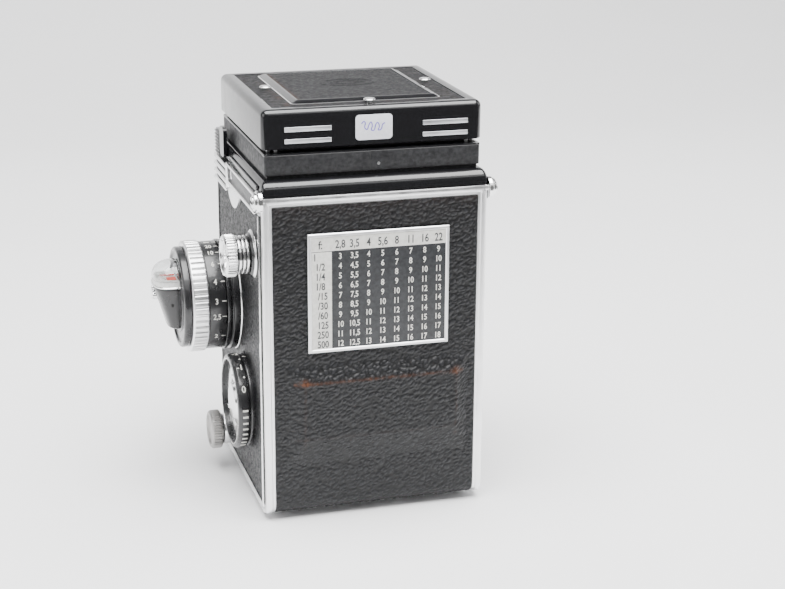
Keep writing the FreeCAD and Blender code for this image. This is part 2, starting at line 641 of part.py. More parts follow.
def lens_barrel(z, seat_y):
    """A lens barrel with its bayonet rim, from the tube behind the board to the front rim."""
    rim_y, lip_y = -61.0, -64.6
    steps = [(LENS_REAR_R, seat_y, -36.2), (BARREL_R + 1.0, seat_y - 1.5, seat_y),
             (BARREL_R, rim_y, seat_y - 1.5), (BAYONET_R, lip_y, rim_y),
             (BAYONET_R - 1.2, LENS_FRONT_Y, lip_y)]
    body = joined([rod_y(r, a, b, 0, z) for r, a, b in steps])
    bores = [rod_y(BARREL_BORE_R, LENS_FRONT_Y - 1, -57.0, 0, z), rod_y(GLASS_REAR_R, -58, -35, 0, z)]
    bores.append(Part.makeCone(BARREL_BORE_R, 16.4, 4.0, Vec(0, -62.0, z), Vec(0, -1, 0)))
    return less(body, bores)


def lens_glass(z):
    """The front and rear glasses of one lens, each bounded by a shallow ball surface."""
    front_r, dome_r = BARREL_BORE_R, 34.0
    sag = dome_r - math.sqrt(dome_r ** 2 - front_r ** 2)
    front = rod_y(front_r, -62.0, -58.0, 0, z)
    dome = Part.makeSphere(dome_r, Vec(0, -62.0 + dome_r - sag, z))
    cap = dome.common(rod_y(front_r, -66.0, -61.9, 0, z))
    rear = rod_y(GLASS_REAR_R, -39.5, -37.0, 0, z)
    return Part.makeCompound([joined([front, cap]), rear])


def shutter_case():
    case = rod_y(SHUTTER_R, SHUTTER_FRONT_Y, BOARD_FRONT_Y, 0, TAKING_Z)
    return less(case, [rod_y(LENS_REAR_R, SHUTTER_FRONT_Y - 1, BOARD_FRONT_Y + 1, 0, TAKING_Z)])


def setting_wheel(x):
    wheel = fluted_wheel(WHEEL_R, 0.35, 40, -50.0, -46.2, x, WHEEL_Z)
    dish = rod_y(WHEEL_R - 2.2, -51.0, -49.4, x, WHEEL_Z)
    return joined([less(wheel, [dish]), rod_y(POST_R, -46.2, BOARD_FRONT_Y + 3.5, x, WHEEL_Z)])


def self_timer_lever():
    hub = rod_y(3.4, -48.4, -46.0, -TIMER_X, TIMER_Z)
    arm = box(-TIMER_X - 1.6, -TIMER_X + 1.6, -48.0, -46.6, TIMER_Z - 11.0, TIMER_Z)
    tip = rod_y(2.4, -49.4, -46.6, -TIMER_X, TIMER_Z - 11.0)
    return joined([hub, arm, tip, rod_y(1.5, -46.0, BOARD_FRONT_Y + 3.5, -TIMER_X, TIMER_Z)])


# ---- release and flash socket ----
def shutter_release():
    head = rod_y(4.0, -46.0, -42.2, -RELEASE_X, RELEASE_Z)
    stem = rod_y(2.0, -42.2, -33.0, -RELEASE_X, RELEASE_Z)
    return less(joined([head, stem]), [rod_y(CABLE_THREAD_R, -47, -41.0, -RELEASE_X, RELEASE_Z)])


def release_lock():
    ring = rod_y(6.4, -42.4, -39.1, -RELEASE_X, RELEASE_Z)
    tab = box(-RELEASE_X - 1.2, -RELEASE_X + 1.2, -42.4, -39.1, RELEASE_Z + 5.5, RELEASE_Z + 8.6)
    return less(joined([ring, tab]), [rod_y(4.3, -43, -39, -RELEASE_X, RELEASE_Z)])


def flash_socket():
    body = joined([rod_y(4.2, -40.2, BODY_FRONT_Y, RELEASE_X, RELEASE_Z),
                   rod_y(3.0, -43.2, -40.2, RELEASE_X, RELEASE_Z)])
    contact = rod_y(0.6, -42.8, -40.0, RELEASE_X, RELEASE_Z)
    return joined([less(body, [rod_y(FLASH_BORE_R, -44, -40.0, RELEASE_X, RELEASE_Z)]), contact])


# ---- back ----
def back_skin(half_x, depth, rise, top_z, front_y):
    """A skin that runs down the back, round its lower corner and under the floor to front_y."""
    corner_y, corner_z = BODY_REAR_Y - CORNER_R, BODY_BOTTOM_Z + CORNER_R
    straight = box(-half_x, half_x, BODY_REAR_Y - depth, BODY_REAR_Y + rise, corner_z, top_z)
    under = box(-half_x, half_x, front_y, corner_y, BODY_BOTTOM_Z - rise, BODY_BOTTOM_Z + depth)
    quarter = box(-half_x, half_x, corner_y, BODY_REAR_Y + rise, BODY_BOTTOM_Z - rise, corner_z)
    bend = rod_x(CORNER_R + rise, -half_x, half_x, corner_y, corner_z)
    bend = bend.cut(rod_x(CORNER_R - depth, -half_x, half_x, corner_y, corner_z)).common(quarter)
    return joined([straight, bend, under])


def door_sheet():
    """The whole L of the back before it is parted into its rear plate and its floor."""
    floor_front = BODY_FRONT_Y + WALL + GAP
    rear = box(-BODY_HALF_X, BODY_HALF_X, DOOR_IN_Y, BODY_REAR_Y, BODY_BOTTOM_Z, HINGE_Z)
    floor = box(-BODY_HALF_X, BODY_HALF_X, floor_front, BODY_REAR_Y, BODY_BOTTOM_Z, DOOR_FLOOR_Z)
    sheet = joined([rear, floor])
    heel = Vec(0, BODY_REAR_Y, BODY_BOTTOM_Z)
    corner = [e for e in edges_along(sheet, X_AXIS) if e.BoundBox.Center.distanceToPoint(heel) < 0.01]
    field = back_skin(BODY_HALF_X - FRAME_WIDTH, LEATHER_DEPTH, 1.0,
                      LEATHER_TOP_Z + 0.1, LEATHER_FRONT_Y - 0.1)
    return less(sheet.makeFillet(CORNER_R, corner), [field])


def back_door():
    """The rear plate of the hinged back, with its raised frame, rounded foot and hinge barrel."""
    rear = door_sheet().common(box(-BODY_HALF_X, BODY_HALF_X, DOOR_SEAM_Y, BODY_REAR_Y, 0, BODY_TOP_Z))
    barrel = rod_x(HINGE_R, -BODY_HALF_X, BODY_HALF_X, HINGE_Y, HINGE_Z)
    bores = []
    for side in (-1, 1):
        x0, x1 = sorted((side * (BODY_HALF_X + 1), side * (BODY_HALF_X - PIN_REACH - 0.2)))
        bores.append(rod_x(HINGE_PIN_R + RUNNING, x0, x1, HINGE_Y, HINGE_Z))
    return less(joined([rear, barrel]), bores)


def door_floor():
    """The floor plate of the hinged back, which closes the bottom and carries the tripod socket."""
    floor = door_sheet().common(box(-BODY_HALF_X, BODY_HALF_X, BODY_FRONT_Y, DOOR_SEAM_Y, 0, BODY_TOP_Z))
    return less(floor, [rod_z(SOCKET_R, 0, 10, 0, 0)])


def back_leather():
    """The leather of the back, with the raised hump where the lower film chamber swells."""
    skin = back_skin(BODY_HALF_X - FRAME_WIDTH - 0.1, LEATHER_DEPTH, LEATHER_RISE,
                     LEATHER_TOP_Z, LEATHER_FRONT_Y)

    def outline(corners, y):
        left, right, low, high = corners
        return Part.makePolygon([Vec(right, y, low), Vec(left, y, low), Vec(left, y, high),
                                 Vec(right, y, high), Vec(right, y, low)])

    foot, top = outline(HUMP_FOOT, BODY_REAR_Y), outline(HUMP_TOP, BODY_REAR_Y + HUMP_RISE)
    hump = Part.makeLoft([foot, top], True, True)
    return joined([skin, hump])


def exposure_table():
    y0 = BODY_REAR_Y + 0.2
    x0, x1 = TABLE_CENTRE_X - TABLE_HALF_X, TABLE_CENTRE_X + TABLE_HALF_X
    plate = box(x0, x1, y0, y0 + 0.6, TABLE_LOW_Z, TABLE_HIGH_Z)
    field = box(x0 + 1.3, x1 - 1.3, y0 + 0.4, y0 + 2, TABLE_LOW_Z + 1.3, TABLE_HIGH_Z - 1.3)
    return less(plate, [field])


def pressure_plate():
    """The sprung plate that holds the film flat against the gate."""
    rear = FILM_Y + 1.6
    plate = box(-31, 31, FILM_Y + 0.4, rear, TAKING_Z - 27, TAKING_Z + 27)
    ribs = [box(x, x + 4, rear, rear + 0.3, TAKING_Z - 22, TAKING_Z + 22) for x in (-24, 20)]
    return joined([plate] + ribs)


def tripod_socket():
    """The threaded socket that stands through the floor of the back."""
    body = joined([rod_z(SOCKET_R, 0.4, 7.5, 0, 0), rod_z(9.5, 0, 0.4, 0, 0)])
    return less(body, [rod_z(TRIPOD_THREAD_R, -1, 8, 0, 0)])


def latch_ring():
    ring = joined([rod_z(LATCH_R, 0.5, 1.85, 0, 0), box(-3, 3, -19, -12, 0.5, 1.85)])
    return less(ring, [rod_z(SOCKET_R + RUNNING, 0, 3, 0, 0)])


def door_feet():
    feet = []
    for x in (-FOOT_X, FOOT_X):
        for y in (-FOOT_Y, FOOT_Y):
            foot = rod_z(FOOT_R, 0, BODY_BOTTOM_Z, x, y)
            feet.append(foot.makeFillet(0.7, edges_at(foot, "Z", 0)))
    return Part.makeCompound(feet)


# ---- hood ----
def hood_base():
    """The crackle-painted frame of the folding hood, with the lugs of its lid and flaps."""
    frame = box(-38.2, 38.2, -37.2, 34.9, DECK_TOP_Z, HOOD_BASE_TOP_Z)
    frame = less(frame, [box(-30.5, 30.5, -31, 27, DECK_TOP_Z - 1, HOOD_BASE_TOP_Z + 1)])
    lugs = []
    for side in (-1, 1):
        x0, x1 = sorted((side * 31.4, side * 33.4))
        lug = box(x0, x1, -37.1, -35.4, HOOD_BASE_TOP_Z - 0.5, HOOD_BASE_TOP_Z + 0.6)
        eye = rod_x(0.75, x0, x1, LID_HINGE_Y, LID_HINGE_Z).common(box(-40, 40, -39, -35, 133.0, 136))
        a, b = sorted((side * 29.0, side * 31.4))
        lugs += [lug, eye, box(x0, x1, -38.3, -35.6, HOOD_BASE_TOP_Z - 0.4, LID_HINGE_Z),
                 rod_x(0.45, a, b, LID_HINGE_Y, LID_HINGE_Z)]
        for y0, y1, tip in ((-33.8, -32.6, -31.4), (30.0, 31.2, 28.8)):
            a, b = sorted((side * (SIDE_FLAP_X - 0.8), side * (SIDE_FLAP_X + 0.8)))
            lugs.append(box(a, b, y0, y1, HOOD_BASE_TOP_Z - 0.5, FLAP_Z + 0.7))
            p, q = sorted((tip, (y0 + y1) / 2))
            lugs.append(rod_y(0.4, p, q, side * SIDE_FLAP_X, FLAP_Z))
        a, b = sorted((side * 33.2, side * 34.4))
        lugs.append(box(a, b, REAR_FLAP_Y - 0.6, REAR_FLAP_Y + 0.8, HOOD_BASE_TOP_Z - 0.5, FLAP_Z + 0.7))
        a, b = sorted((side * 30.6, side * 34.0))
        lugs.append(rod_x(0.4, a, b, REAR_FLAP_Y, FLAP_Z))
    return joined([frame] + lugs)


def hood_catch_lever():
    lever = box(40.4, 41.8, CATCH_Y - 3.6, CATCH_Y + 3.6, 120.2, 131.2)
    lever = lever.makeFillet(2.0, edges_along(lever, X_AXIS))
    return joined([lever, rod_x(1.15, BODY_HALF_X - 3.8, 40.4, CATCH_Y, CATCH_Z)])


def hood_lid():
    """The glossy lid: a shallow cap that swings forward on its front edge."""
    cap = box(-LID_HALF_X, LID_HALF_X, LID_FRONT_Y, LID_REAR_Y, LID_BOTTOM_Z, LID_TOP_Z)
    cap = cap.makeFillet(2.6, edges_along(cap, Z_AXIS))
    cap = cap.makeFillet(1.6, edges_at(cap, "Z", LID_TOP_Z))
    skin = 1.2
    hollow = box(-LID_HALF_X + skin, LID_HALF_X - skin, LID_FRONT_Y + skin, LID_REAR_Y - skin,
                 LID_BOTTOM_Z - 1, LID_TOP_Z - skin)
    knuckle = rod_x(1.0, -31.1, 31.1, LID_HINGE_Y, LID_HINGE_Z)
    web = box(-31.1, 31.1, LID_HINGE_Y - 0.9, LID_HINGE_Y + 0.5, LID_HINGE_Z, LID_BOTTOM_Z + 0.6)
    cuts = [rod_x(0.45 + RUNNING, -31.5, -28.8, LID_HINGE_Y, LID_HINGE_Z),
            rod_x(0.45 + RUNNING, 28.8, 31.5, LID_HINGE_Y, LID_HINGE_Z)]
    for side in (-1, 1):
        a, b = sorted((side * 31.1, side * 33.8))
        cuts.append(box(a, b, LID_FRONT_Y - 1, LID_HINGE_Y + 2.8, LID_BOTTOM_Z - 1, LID_BOTTOM_Z + 1.2))
    return less(joined([less(cap, [hollow]), knuckle, web]), cuts)


def lid_panel():
    """The leather-topped panel of the sports finder, raised on the lid."""
    panel = box(-26.0, 26.4, -29.0, 26.4, LID_TOP_Z, LID_TOP_Z + 1.3)
    return panel.makeFillet(0.8, edges_along(panel, Z_AXIS))


def lid_studs():
    studs = []
    for x, y in ((29.6, -2.0), (0.0, 29.0), (-29.6, -2.6)):
        head = rod_z(2.15, LID_TOP_Z, LID_TOP_Z + 1.6, x, y)
        studs.append(head.makeFillet(0.8, edges_at(head, "Z", LID_TOP_Z + 1.6)))
    return Part.makeCompound(studs)


def magnifier():
    """The folding magnifier on its arm, stowed under the lid."""
    ring = rod_z(12.5, 143.6, LID_TOP_Z - 1.2, 0, 4)
    glass = rod_z(10.5, 144.2, LID_TOP_Z - 1.2, 0, 4)
    arm = box(-4, 4, -34, -6, 145.2, LID_TOP_Z - 1.2)
    lens = Part.makeSphere(30, Vec(0, 4, 144.4 + 29.4)).common(rod_z(10.4, 143, 146.6, 0, 4))
    return joined([less(ring, [glass]), arm, lens])


def side_flap(side):
    """A side flap of the hood, folded flat; its two ends are cut back so that it clears its neighbours."""
    front, rear = -31.2, 28.6
    low = FLAP_Z - FLAP_THICK / 2
    start = SIDE_FLAP_X * side
    tip = side * (SIDE_FLAP_X - SIDE_FLAP_REACH)
    cut_front = SIDE_FLAP_REACH - 18.0
    cut_rear = SIDE_FLAP_REACH - 3.2
    plate = prism([Vec(start, front, low), Vec(start - side * 18.0, front, low),
                   Vec(tip, front + cut_front, low), Vec(tip, rear - cut_rear, low),
                   Vec(start - side * 3.0, rear, low), Vec(start, rear, low)], Vec(0, 0, FLAP_THICK))
    knuckle = rod_y(0.7, front, rear, start, FLAP_Z)
    bores = [rod_y(0.4 + RUNNING, front - 1, front + 2.4, start, FLAP_Z),
             rod_y(0.4 + RUNNING, rear - 2.4, rear + 1, start, FLAP_Z)]
    return less(joined([plate, knuckle]), bores)


def rear_flap():
    low = FLAP_Z - FLAP_THICK / 2
    tip_y = REAR_FLAP_Y - REAR_FLAP_REACH
    plate = prism([Vec(-33.0, REAR_FLAP_Y, low), Vec(-33.0 + 1.6, REAR_FLAP_Y - 1.0, low),
                   Vec(-4.4, tip_y, low), Vec(4.4, tip_y, low), Vec(33.0 - 1.6, REAR_FLAP_Y - 1.0, low),
                   Vec(33.0, REAR_FLAP_Y, low)], Vec(0, 0, FLAP_THICK))
    knuckle = rod_x(0.7, -33.0, 33.0, REAR_FLAP_Y, FLAP_Z)
    bores = [rod_x(0.4 + RUNNING, *sorted((s * 34, s * 30.4)), REAR_FLAP_Y, FLAP_Z) for s in (-1, 1)]
    return less(joined([plate, knuckle]), bores)


NODES = {
    "body_casting": body_casting,
    "top_deck": top_deck,
    "side_leathers": side_leathers,
    "side_trims": side_trims,
    "reflex_mirror": reflex_mirror,
    "mirror_cradle": mirror_cradle,
    "focusing_screen": focusing_screen,
    "strap_rails": strap_rails,
    "door_hinge_caps": door_hinge_caps,
    "meter_cell": meter_cell,
    "spool_collars": spool_collars,
    "supply_spool": lambda: spool(SUPPLY_Y, SUPPLY_Z),
    "take_up_spool": lambda: spool(TAKEUP_Y, TAKEUP_Z),
    "lower_roller": lambda: roller(ROLLER_LOW_Z),
    "upper_roller": lambda: roller(ROLLER_HIGH_Z),
    "upper_spool_knob": lambda: spool_knob(7.5, TAKEUP_Y, TAKEUP_Z, 46.6, 50.9),
    "lower_spool_knob": lambda: spool_knob(7.0, SUPPLY_Y, SUPPLY_Z, 46.3, 50.7),
    "crank_hub": crank_hub,
    "crank_arm": crank_arm,
    "crank_handle": crank_handle,
    "idler_gear": idler_gear,
    "spool_gear": spool_gear,
    "focus_base_ring": focus_base_ring,
    "focus_drum": focus_drum,
    "focus_grip_ring": focus_grip_ring,
    "focus_camshaft": focus_camshaft,
    "meter_housing": meter_housing,
    "meter_dome": meter_dome,
    "meter_needle": meter_needle,
    "correction_dial_base": correction_dial_base,
    "correction_dial": correction_dial,
    "lens_board": lens_board,
    "viewing_barrel": lambda: lens_barrel(VIEWING_Z, BOARD_FRONT_Y),
    "taking_barrel": lambda: lens_barrel(TAKING_Z, SHUTTER_FRONT_Y),
    "viewing_glass": lambda: lens_glass(VIEWING_Z),
    "taking_glass": lambda: lens_glass(TAKING_Z),
    "shutter_case": shutter_case,
    "aperture_wheel": lambda: setting_wheel(WHEEL_X),
    "speed_wheel": lambda: setting_wheel(-WHEEL_X),
    "self_timer_lever": self_timer_lever,
    "shutter_release": shutter_release,
    "release_lock": release_lock,
    "flash_socket": flash_socket,
    "back_door": back_door,
    "door_floor": door_floor,
    "back_leather": back_leather,
    "exposure_table": exposure_table,
    "pressure_plate": pressure_plate,
    "tripod_socket": tripod_socket,
    "latch_ring": latch_ring,
    "door_feet": door_feet,
    "hood_base": hood_base,
    "hood_catch_lever": hood_catch_lever,
    "hood_lid": hood_lid,
    "lid_panel": lid_panel,
    "lid_studs": lid_studs,
    "magnifier": magnifier,
    "left_flap": lambda: side_flap(1),
    "right_flap": lambda: side_flap(-1),
    "rear_flap": rear_flap,
}


def main():
    os.makedirs("parts", exist_ok=True)
    for name, make in NODES.items():
        shape = make()
        if not shape.isValid() or not shape.Solids:
            print("check the solids of", name)
        if len(shape.Solids) != 1:
            print(name, "has", len(shape.Solids), "solids")
        shape.exportStep(os.path.join("parts", name + ".step"))
    print(len(NODES), "nodes written")


main()
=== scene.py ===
"""Looks of a twin lens reflex camera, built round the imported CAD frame.

Lengths in this script are millimetres in the CAD frame; put() turns them into metres.
+X is the focusing-knob side, +Y the rear, +Z up.
"""
import json
import math

import bmesh
import bpy
from mathutils import Matrix, Vector, noise


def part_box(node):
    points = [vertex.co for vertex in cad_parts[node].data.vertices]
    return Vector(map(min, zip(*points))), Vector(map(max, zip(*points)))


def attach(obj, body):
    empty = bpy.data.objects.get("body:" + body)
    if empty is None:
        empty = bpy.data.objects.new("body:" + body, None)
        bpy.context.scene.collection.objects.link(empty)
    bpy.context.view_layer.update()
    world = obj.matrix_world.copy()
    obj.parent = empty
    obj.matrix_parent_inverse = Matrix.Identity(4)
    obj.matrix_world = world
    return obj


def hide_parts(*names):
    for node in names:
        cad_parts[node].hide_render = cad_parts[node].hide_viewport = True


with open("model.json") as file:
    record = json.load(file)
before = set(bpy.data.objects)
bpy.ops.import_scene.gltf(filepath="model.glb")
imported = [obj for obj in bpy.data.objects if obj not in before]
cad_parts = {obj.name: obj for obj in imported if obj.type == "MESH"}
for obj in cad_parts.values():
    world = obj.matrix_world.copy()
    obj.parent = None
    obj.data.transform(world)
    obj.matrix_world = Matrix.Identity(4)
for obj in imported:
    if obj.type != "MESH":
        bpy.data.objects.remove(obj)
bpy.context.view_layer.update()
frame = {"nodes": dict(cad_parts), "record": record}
MM = 0.001
# The fixed body, the side wall, the axes of the controls and the leathers' (size, depth, stretch, slant).
FIXED = "camera_body"
WALL = 40.1
FOCUS = (-17.3, 69.3)
DIAL = (6.7, 35.6)
DIAL_R = 17.4
DIAL_FACE = 15.0
UPPER_SPOOL = (22.4, 95.3)
LOWER_SPOOL = (-15.0, 16.4)
DOOR_HINGE = (37.3, 117.6)
RAIL_TAB = (-6.5, 117.3)
CAP_SHARE = 0.72
BACK_GRAIN = (1.2, 0.42, 1.9, 28.0)
LID_GRAIN = (0.7, 0.22, 1.5, 20.0)
PANEL_GRAIN = (0.7, 0.2, 1.5, 20.0)
SIDE_GRAIN = (0.8, 0.34, 2.0)
SIDE_SLANT = 35.0
LID_REAR = 34.8


def spec(node):
    """The lowest and highest corner of a CAD node, in millimetres."""
    low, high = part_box(node)
    return low / MM, high / MM


# ---- materials
def shader(name, colour, roughness, metallic=0.0, **sockets):
    mat = bpy.data.materials.new(name)
    mat.use_nodes = True
    bsdf = mat.node_tree.nodes["Principled BSDF"]
    bsdf.inputs["Base Color"].default_value = (*colour, 1.0)
    bsdf.inputs["Roughness"].default_value = roughness
    bsdf.inputs["Metallic"].default_value = metallic
    for socket, value in sockets.items():
        bsdf.inputs[socket.replace("_", " ")].default_value = value
    return mat


def coords(mat, stretch=(1, 1, 1)):
    nodes, links = mat.node_tree.nodes, mat.node_tree.links
    where = nodes.new("ShaderNodeTexCoord")
    mapping = nodes.new("ShaderNodeMapping")
    mapping.inputs["Scale"].default_value = stretch
    links.new(where.outputs["Object"], mapping.inputs["Vector"])
    return mapping.outputs["Vector"]


def noise_node(mat, per_metre, detail=4.0, stretch=(1, 1, 1)):
    node = mat.node_tree.nodes.new("ShaderNodeTexNoise")
    node.inputs["Scale"].default_value = per_metre
    node.inputs["Detail"].default_value = detail
    mat.node_tree.links.new(coords(mat, stretch), node.inputs["Vector"])
    return node.outputs["Fac"]


def ramp(mat, value, stops):
    node = mat.node_tree.nodes.new("ShaderNodeValToRGB")
    mat.node_tree.links.new(value, node.inputs["Fac"])
    while len(node.color_ramp.elements) < len(stops):
        node.color_ramp.elements.new(0.5)
    for element, (place, colour) in zip(node.color_ramp.elements, stops):
        element.position = place
        element.color = (*colour, 1.0) if len(colour) == 3 else colour
    return node.outputs["Color"]


def vary(mat, socket, per_metre, low, high, start=0.35, stop=0.65, stretch=(1, 1, 1)):
    """Lets a socket wander between two values over the surface."""
    pair = [(v,) * 3 if isinstance(v, (int, float)) else v for v in (low, high)]
    colour = ramp(mat, noise_node(mat, per_metre, stretch=stretch), [(start, pair[0]), (stop, pair[1])])
    bsdf = mat.node_tree.nodes["Principled BSDF"]
    mat.node_tree.links.new(colour, bsdf.inputs[socket])
    return colour


def bump(mat, height, distance, strength=1.0):
    """Adds a bump of the given depth in millimetres; several calls stack up."""
    nodes, links = mat.node_tree.nodes, mat.node_tree.links
    bsdf = nodes["Principled BSDF"]
    node = nodes.new("ShaderNodeBump")
    node.inputs["Distance"].default_value = distance * MM
    node.inputs["Strength"].default_value = strength
    links.new(height, node.inputs["Height"])
    if bsdf.inputs["Normal"].is_linked:
        links.new(bsdf.inputs["Normal"].links[0].from_socket, node.inputs["Normal"])
    links.new(node.outputs["Normal"], bsdf.inputs["Normal"])


def cells(mat, per_metre, stretch=(1, 1, 1)):
    """Distance to the nearest cell border: dark creases between pebbles."""
    node = mat.node_tree.nodes.new("ShaderNodeTexVoronoi")
    node.feature = "DISTANCE_TO_EDGE"
    node.inputs["Scale"].default_value = per_metre
    mat.node_tree.links.new(coords(mat, stretch), node.inputs["Vector"])
    return node.outputs["Distance"]


def enamel(name, colour, low, high):
    """Glossy stove enamel: nearly flat, with faint waviness, dust and rub marks."""
    mat = shader(name, colour, 0.15, Coat_Weight=0.35, Coat_Roughness=0.06, IOR=1.5)
    vary(mat, "Roughness", 260, low, high)
    bump(mat, noise_node(mat, 1800, 3), 0.006, 0.35)
    return mat


def crackle(name):
    mat = shader(name, (0.022, 0.022, 0.024), 0.5, IOR=1.45)
    vary(mat, "Base Color", 900, (0.007, 0.007, 0.008), (0.024, 0.024, 0.026))
    vary(mat, "Roughness", 500, 0.42, 0.62)
    bump(mat, cells(mat, 1700), 0.12, 0.6)
    bump(mat, noise_node(mat, 4200, 3), 0.05, 0.5)
    return mat


def blend(mat, attribute_name, low, high):
    """Mixes two colours by an attribute of the mesh."""
    nodes, links = mat.node_tree.nodes, mat.node_tree.links
    attribute = nodes.new("ShaderNodeAttribute")
    attribute.attribute_name = attribute_name
    mix = nodes.new("ShaderNodeMix")
    mix.data_type = "RGBA"
    links.new(attribute.outputs["Fac"], mix.inputs["Factor"])
    for socket, colour in (("A", low), ("B", high)):
        if isinstance(colour, tuple):
            mix.inputs[socket].default_value = (*colour, 1.0)
        else:
            links.new(colour, mix.inputs[socket])
    return mix.outputs["Result"]


def leather(name, dark, light, roughness):
    """Black leather; the "grain" attribute darkens the creases between pebbles as painted shade, and "wear"
    brings out the brown hide on rubbed edges.
    """
    mat = shader(name, dark, roughness, IOR=1.45, Specular_IOR_Level=0.45)
    black = ramp(mat, noise_node(mat, 1500, 5), [(0.3, dark), (0.7, light)])
    hide = ramp(mat, noise_node(mat, 700, 4), [(0.35, (0.025, 0.011, 0.007)), (0.68, (0.12, 0.038, 0.012))])
    # painted shade: where the "grain" attribute is low, in the creases, the colour drops to 0.3 of the dark
    # tone
    grained = blend(mat, "grain", tuple(0.3 * c for c in dark), black)
    bsdf = mat.node_tree.nodes["Principled BSDF"]
    mat.node_tree.links.new(blend(mat, "wear", grained, hide), bsdf.inputs["Base Color"])
    vary(mat, "Roughness", 700, roughness - 0.08, roughness + 0.1)
    bump(mat, noise_node(mat, 3000, 6), 0.09, 0.6)
    return mat


def metal(name, colour, low, high, brushed=(1, 1, 1), depth=0.004):
    """Plated metal with smudges in its gloss and fine tool marks."""
    mat = shader(name, colour, 0.2, 1.0)
    vary(mat, "Roughness", 180, low, high)
    bump(mat, noise_node(mat, 2600, 4, brushed), depth, 0.5)
    return mat


def paint(name, dark, light, roughness):
    mat = shader(name, light, roughness)
    vary(mat, "Base Color", 800, dark, light)
    bump(mat, noise_node(mat, 3000, 3), 0.01, 0.3)
    return mat


def clear(name, colour, roughness, ior=1.49):
    mat = shader(name, colour, roughness, Transmission_Weight=1.0, IOR=ior)
    vary(mat, "Roughness", 300, max(roughness - 0.01, 0.0), roughness + 0.03)
    bump(mat, noise_node(mat, 400, 2), 0.003, 0.2)
    return mat


ENAMEL = enamel("gloss_enamel", (0.006, 0.006, 0.007), 0.1, 0.2)
BLACK_METAL = enamel("black_anodised", (0.012, 0.012, 0.013), 0.24, 0.36)
CRACKLE = crackle("crackle_enamel")
LEATHER = leather("grained_leather", (0.007, 0.007, 0.008), (0.02, 0.021, 0.024), 0.42)
FINE_LEATHER = leather("fine_leather", (0.004, 0.004, 0.005), (0.01, 0.01, 0.012), 0.5)
SATIN = metal("satin_chrome", (0.9, 0.9, 0.905), 0.28, 0.42)
WORN = metal("worn_steel", (0.42, 0.41, 0.4), 0.34, 0.5)
CHROME = metal("bright_trim", (0.9, 0.9, 0.9), 0.07, 0.18)
SILVER_INK = metal("silver_bar", (0.86, 0.87, 0.9), 0.3, 0.5)
ALLOY = metal("cast_body", (0.62, 0.62, 0.63), 0.35, 0.5)
BRASS = metal("brass_gear", (0.75, 0.58, 0.28), 0.2, 0.35)
STEEL = metal("steel", (0.62, 0.62, 0.62), 0.2, 0.35, (1, 8, 8))
MATTE = paint("blackened_metal", (0.012, 0.012, 0.012), (0.022, 0.022, 0.022), 0.6)
GREY = enamel("grey_enamel", (0.2, 0.205, 0.215), 0.3, 0.42)
INK_BLACK = paint("dark_ink", (0.03, 0.03, 0.032), (0.06, 0.06, 0.064), 0.5)
INK_WHITE = paint("white_ink", (0.68, 0.67, 0.62), (0.8, 0.79, 0.74), 0.5)
TABLE_BLACK = paint("table_metal", (0.014, 0.015, 0.017), (0.028, 0.029, 0.032), 0.45)
TABLE_LIGHT = paint("table_light", (0.62, 0.61, 0.57), (0.74, 0.73, 0.69), 0.42)
PAPER = paint("label_paper", (0.74, 0.75, 0.8), (0.82, 0.83, 0.87), 0.6)
PEN = paint("pen_ink", (0.07, 0.05, 0.42), (0.2, 0.14, 0.62), 0.5)
RED = paint("red_needle", (0.6, 0.05, 0.03), (0.85, 0.12, 0.07), 0.35)
WHITE_CARD = paint("scale_card", (0.66, 0.66, 0.64), (0.8, 0.8, 0.78), 0.45)
DOME_CLEAR = clear("clear_window", (0.97, 0.98, 0.98), 0.01)
LENS_COAT = clear("coated_glass", (0.75, 0.7, 0.95), 0.0, 1.6)
GROUND = clear("ground_glass", (0.8, 0.83, 0.84), 0.35)
MIRROR = metal("mirror_glass", (0.95, 0.95, 0.96), 0.01, 0.03, depth=0.0)
GREY_INLAY = paint("rail_inlay", (0.05, 0.05, 0.052), (0.1, 0.1, 0.105), 0.4)
PLASTIC = enamel("black_plastic", (0.015, 0.015, 0.015), 0.22, 0.34)

SLOTS = {"gloss_enamel": ENAMEL, "black_anodised": BLACK_METAL, "crackle_enamel": CRACKLE,
    "grained_leather": LEATHER, "satin_chrome": SATIN, "bright_trim": CHROME, "cast_body": ALLOY,
    "brass_gear": BRASS, "steel": STEEL, "blackened_metal": MATTE, "grey_enamel": GREY, "red_needle": RED,
    "clear_window": DOME_CLEAR, "coated_glass": LENS_COAT, "ground_glass": GROUND, "mirror_glass": MIRROR,
    "black_plastic": PLASTIC, "table_metal": TABLE_BLACK, "spool_metal": PLASTIC,}


# ---- mesh helpers
def put(name, verts, faces, material, body, replaces=(), slot=None, sharp=32.0):
    """Makes a mesh piece from points in millimetres and lets it ride on a body."""
    mesh = bpy.data.meshes.new(name)
    mesh.from_pydata([tuple(c * MM for c in v) for v in verts], [], faces)
    mesh.validate()
    mesh.polygons.foreach_set("use_smooth", [True] * len(mesh.polygons))
    mesh.set_sharp_from_angle(angle=math.radians(sharp))
    obj = bpy.data.objects.new(name, mesh)
    bpy.context.scene.collection.objects.link(obj)
    obj.data.materials.append(material)
    fix_normals(mesh)
    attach(obj, body)
    if replaces:
        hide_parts(*replaces)
    return obj


def fix_normals(mesh):
    work = bmesh.new()
    work.from_mesh(mesh)
    bmesh.ops.recalc_face_normals(work, faces=work.faces)
    work.to_mesh(mesh)
    work.free()


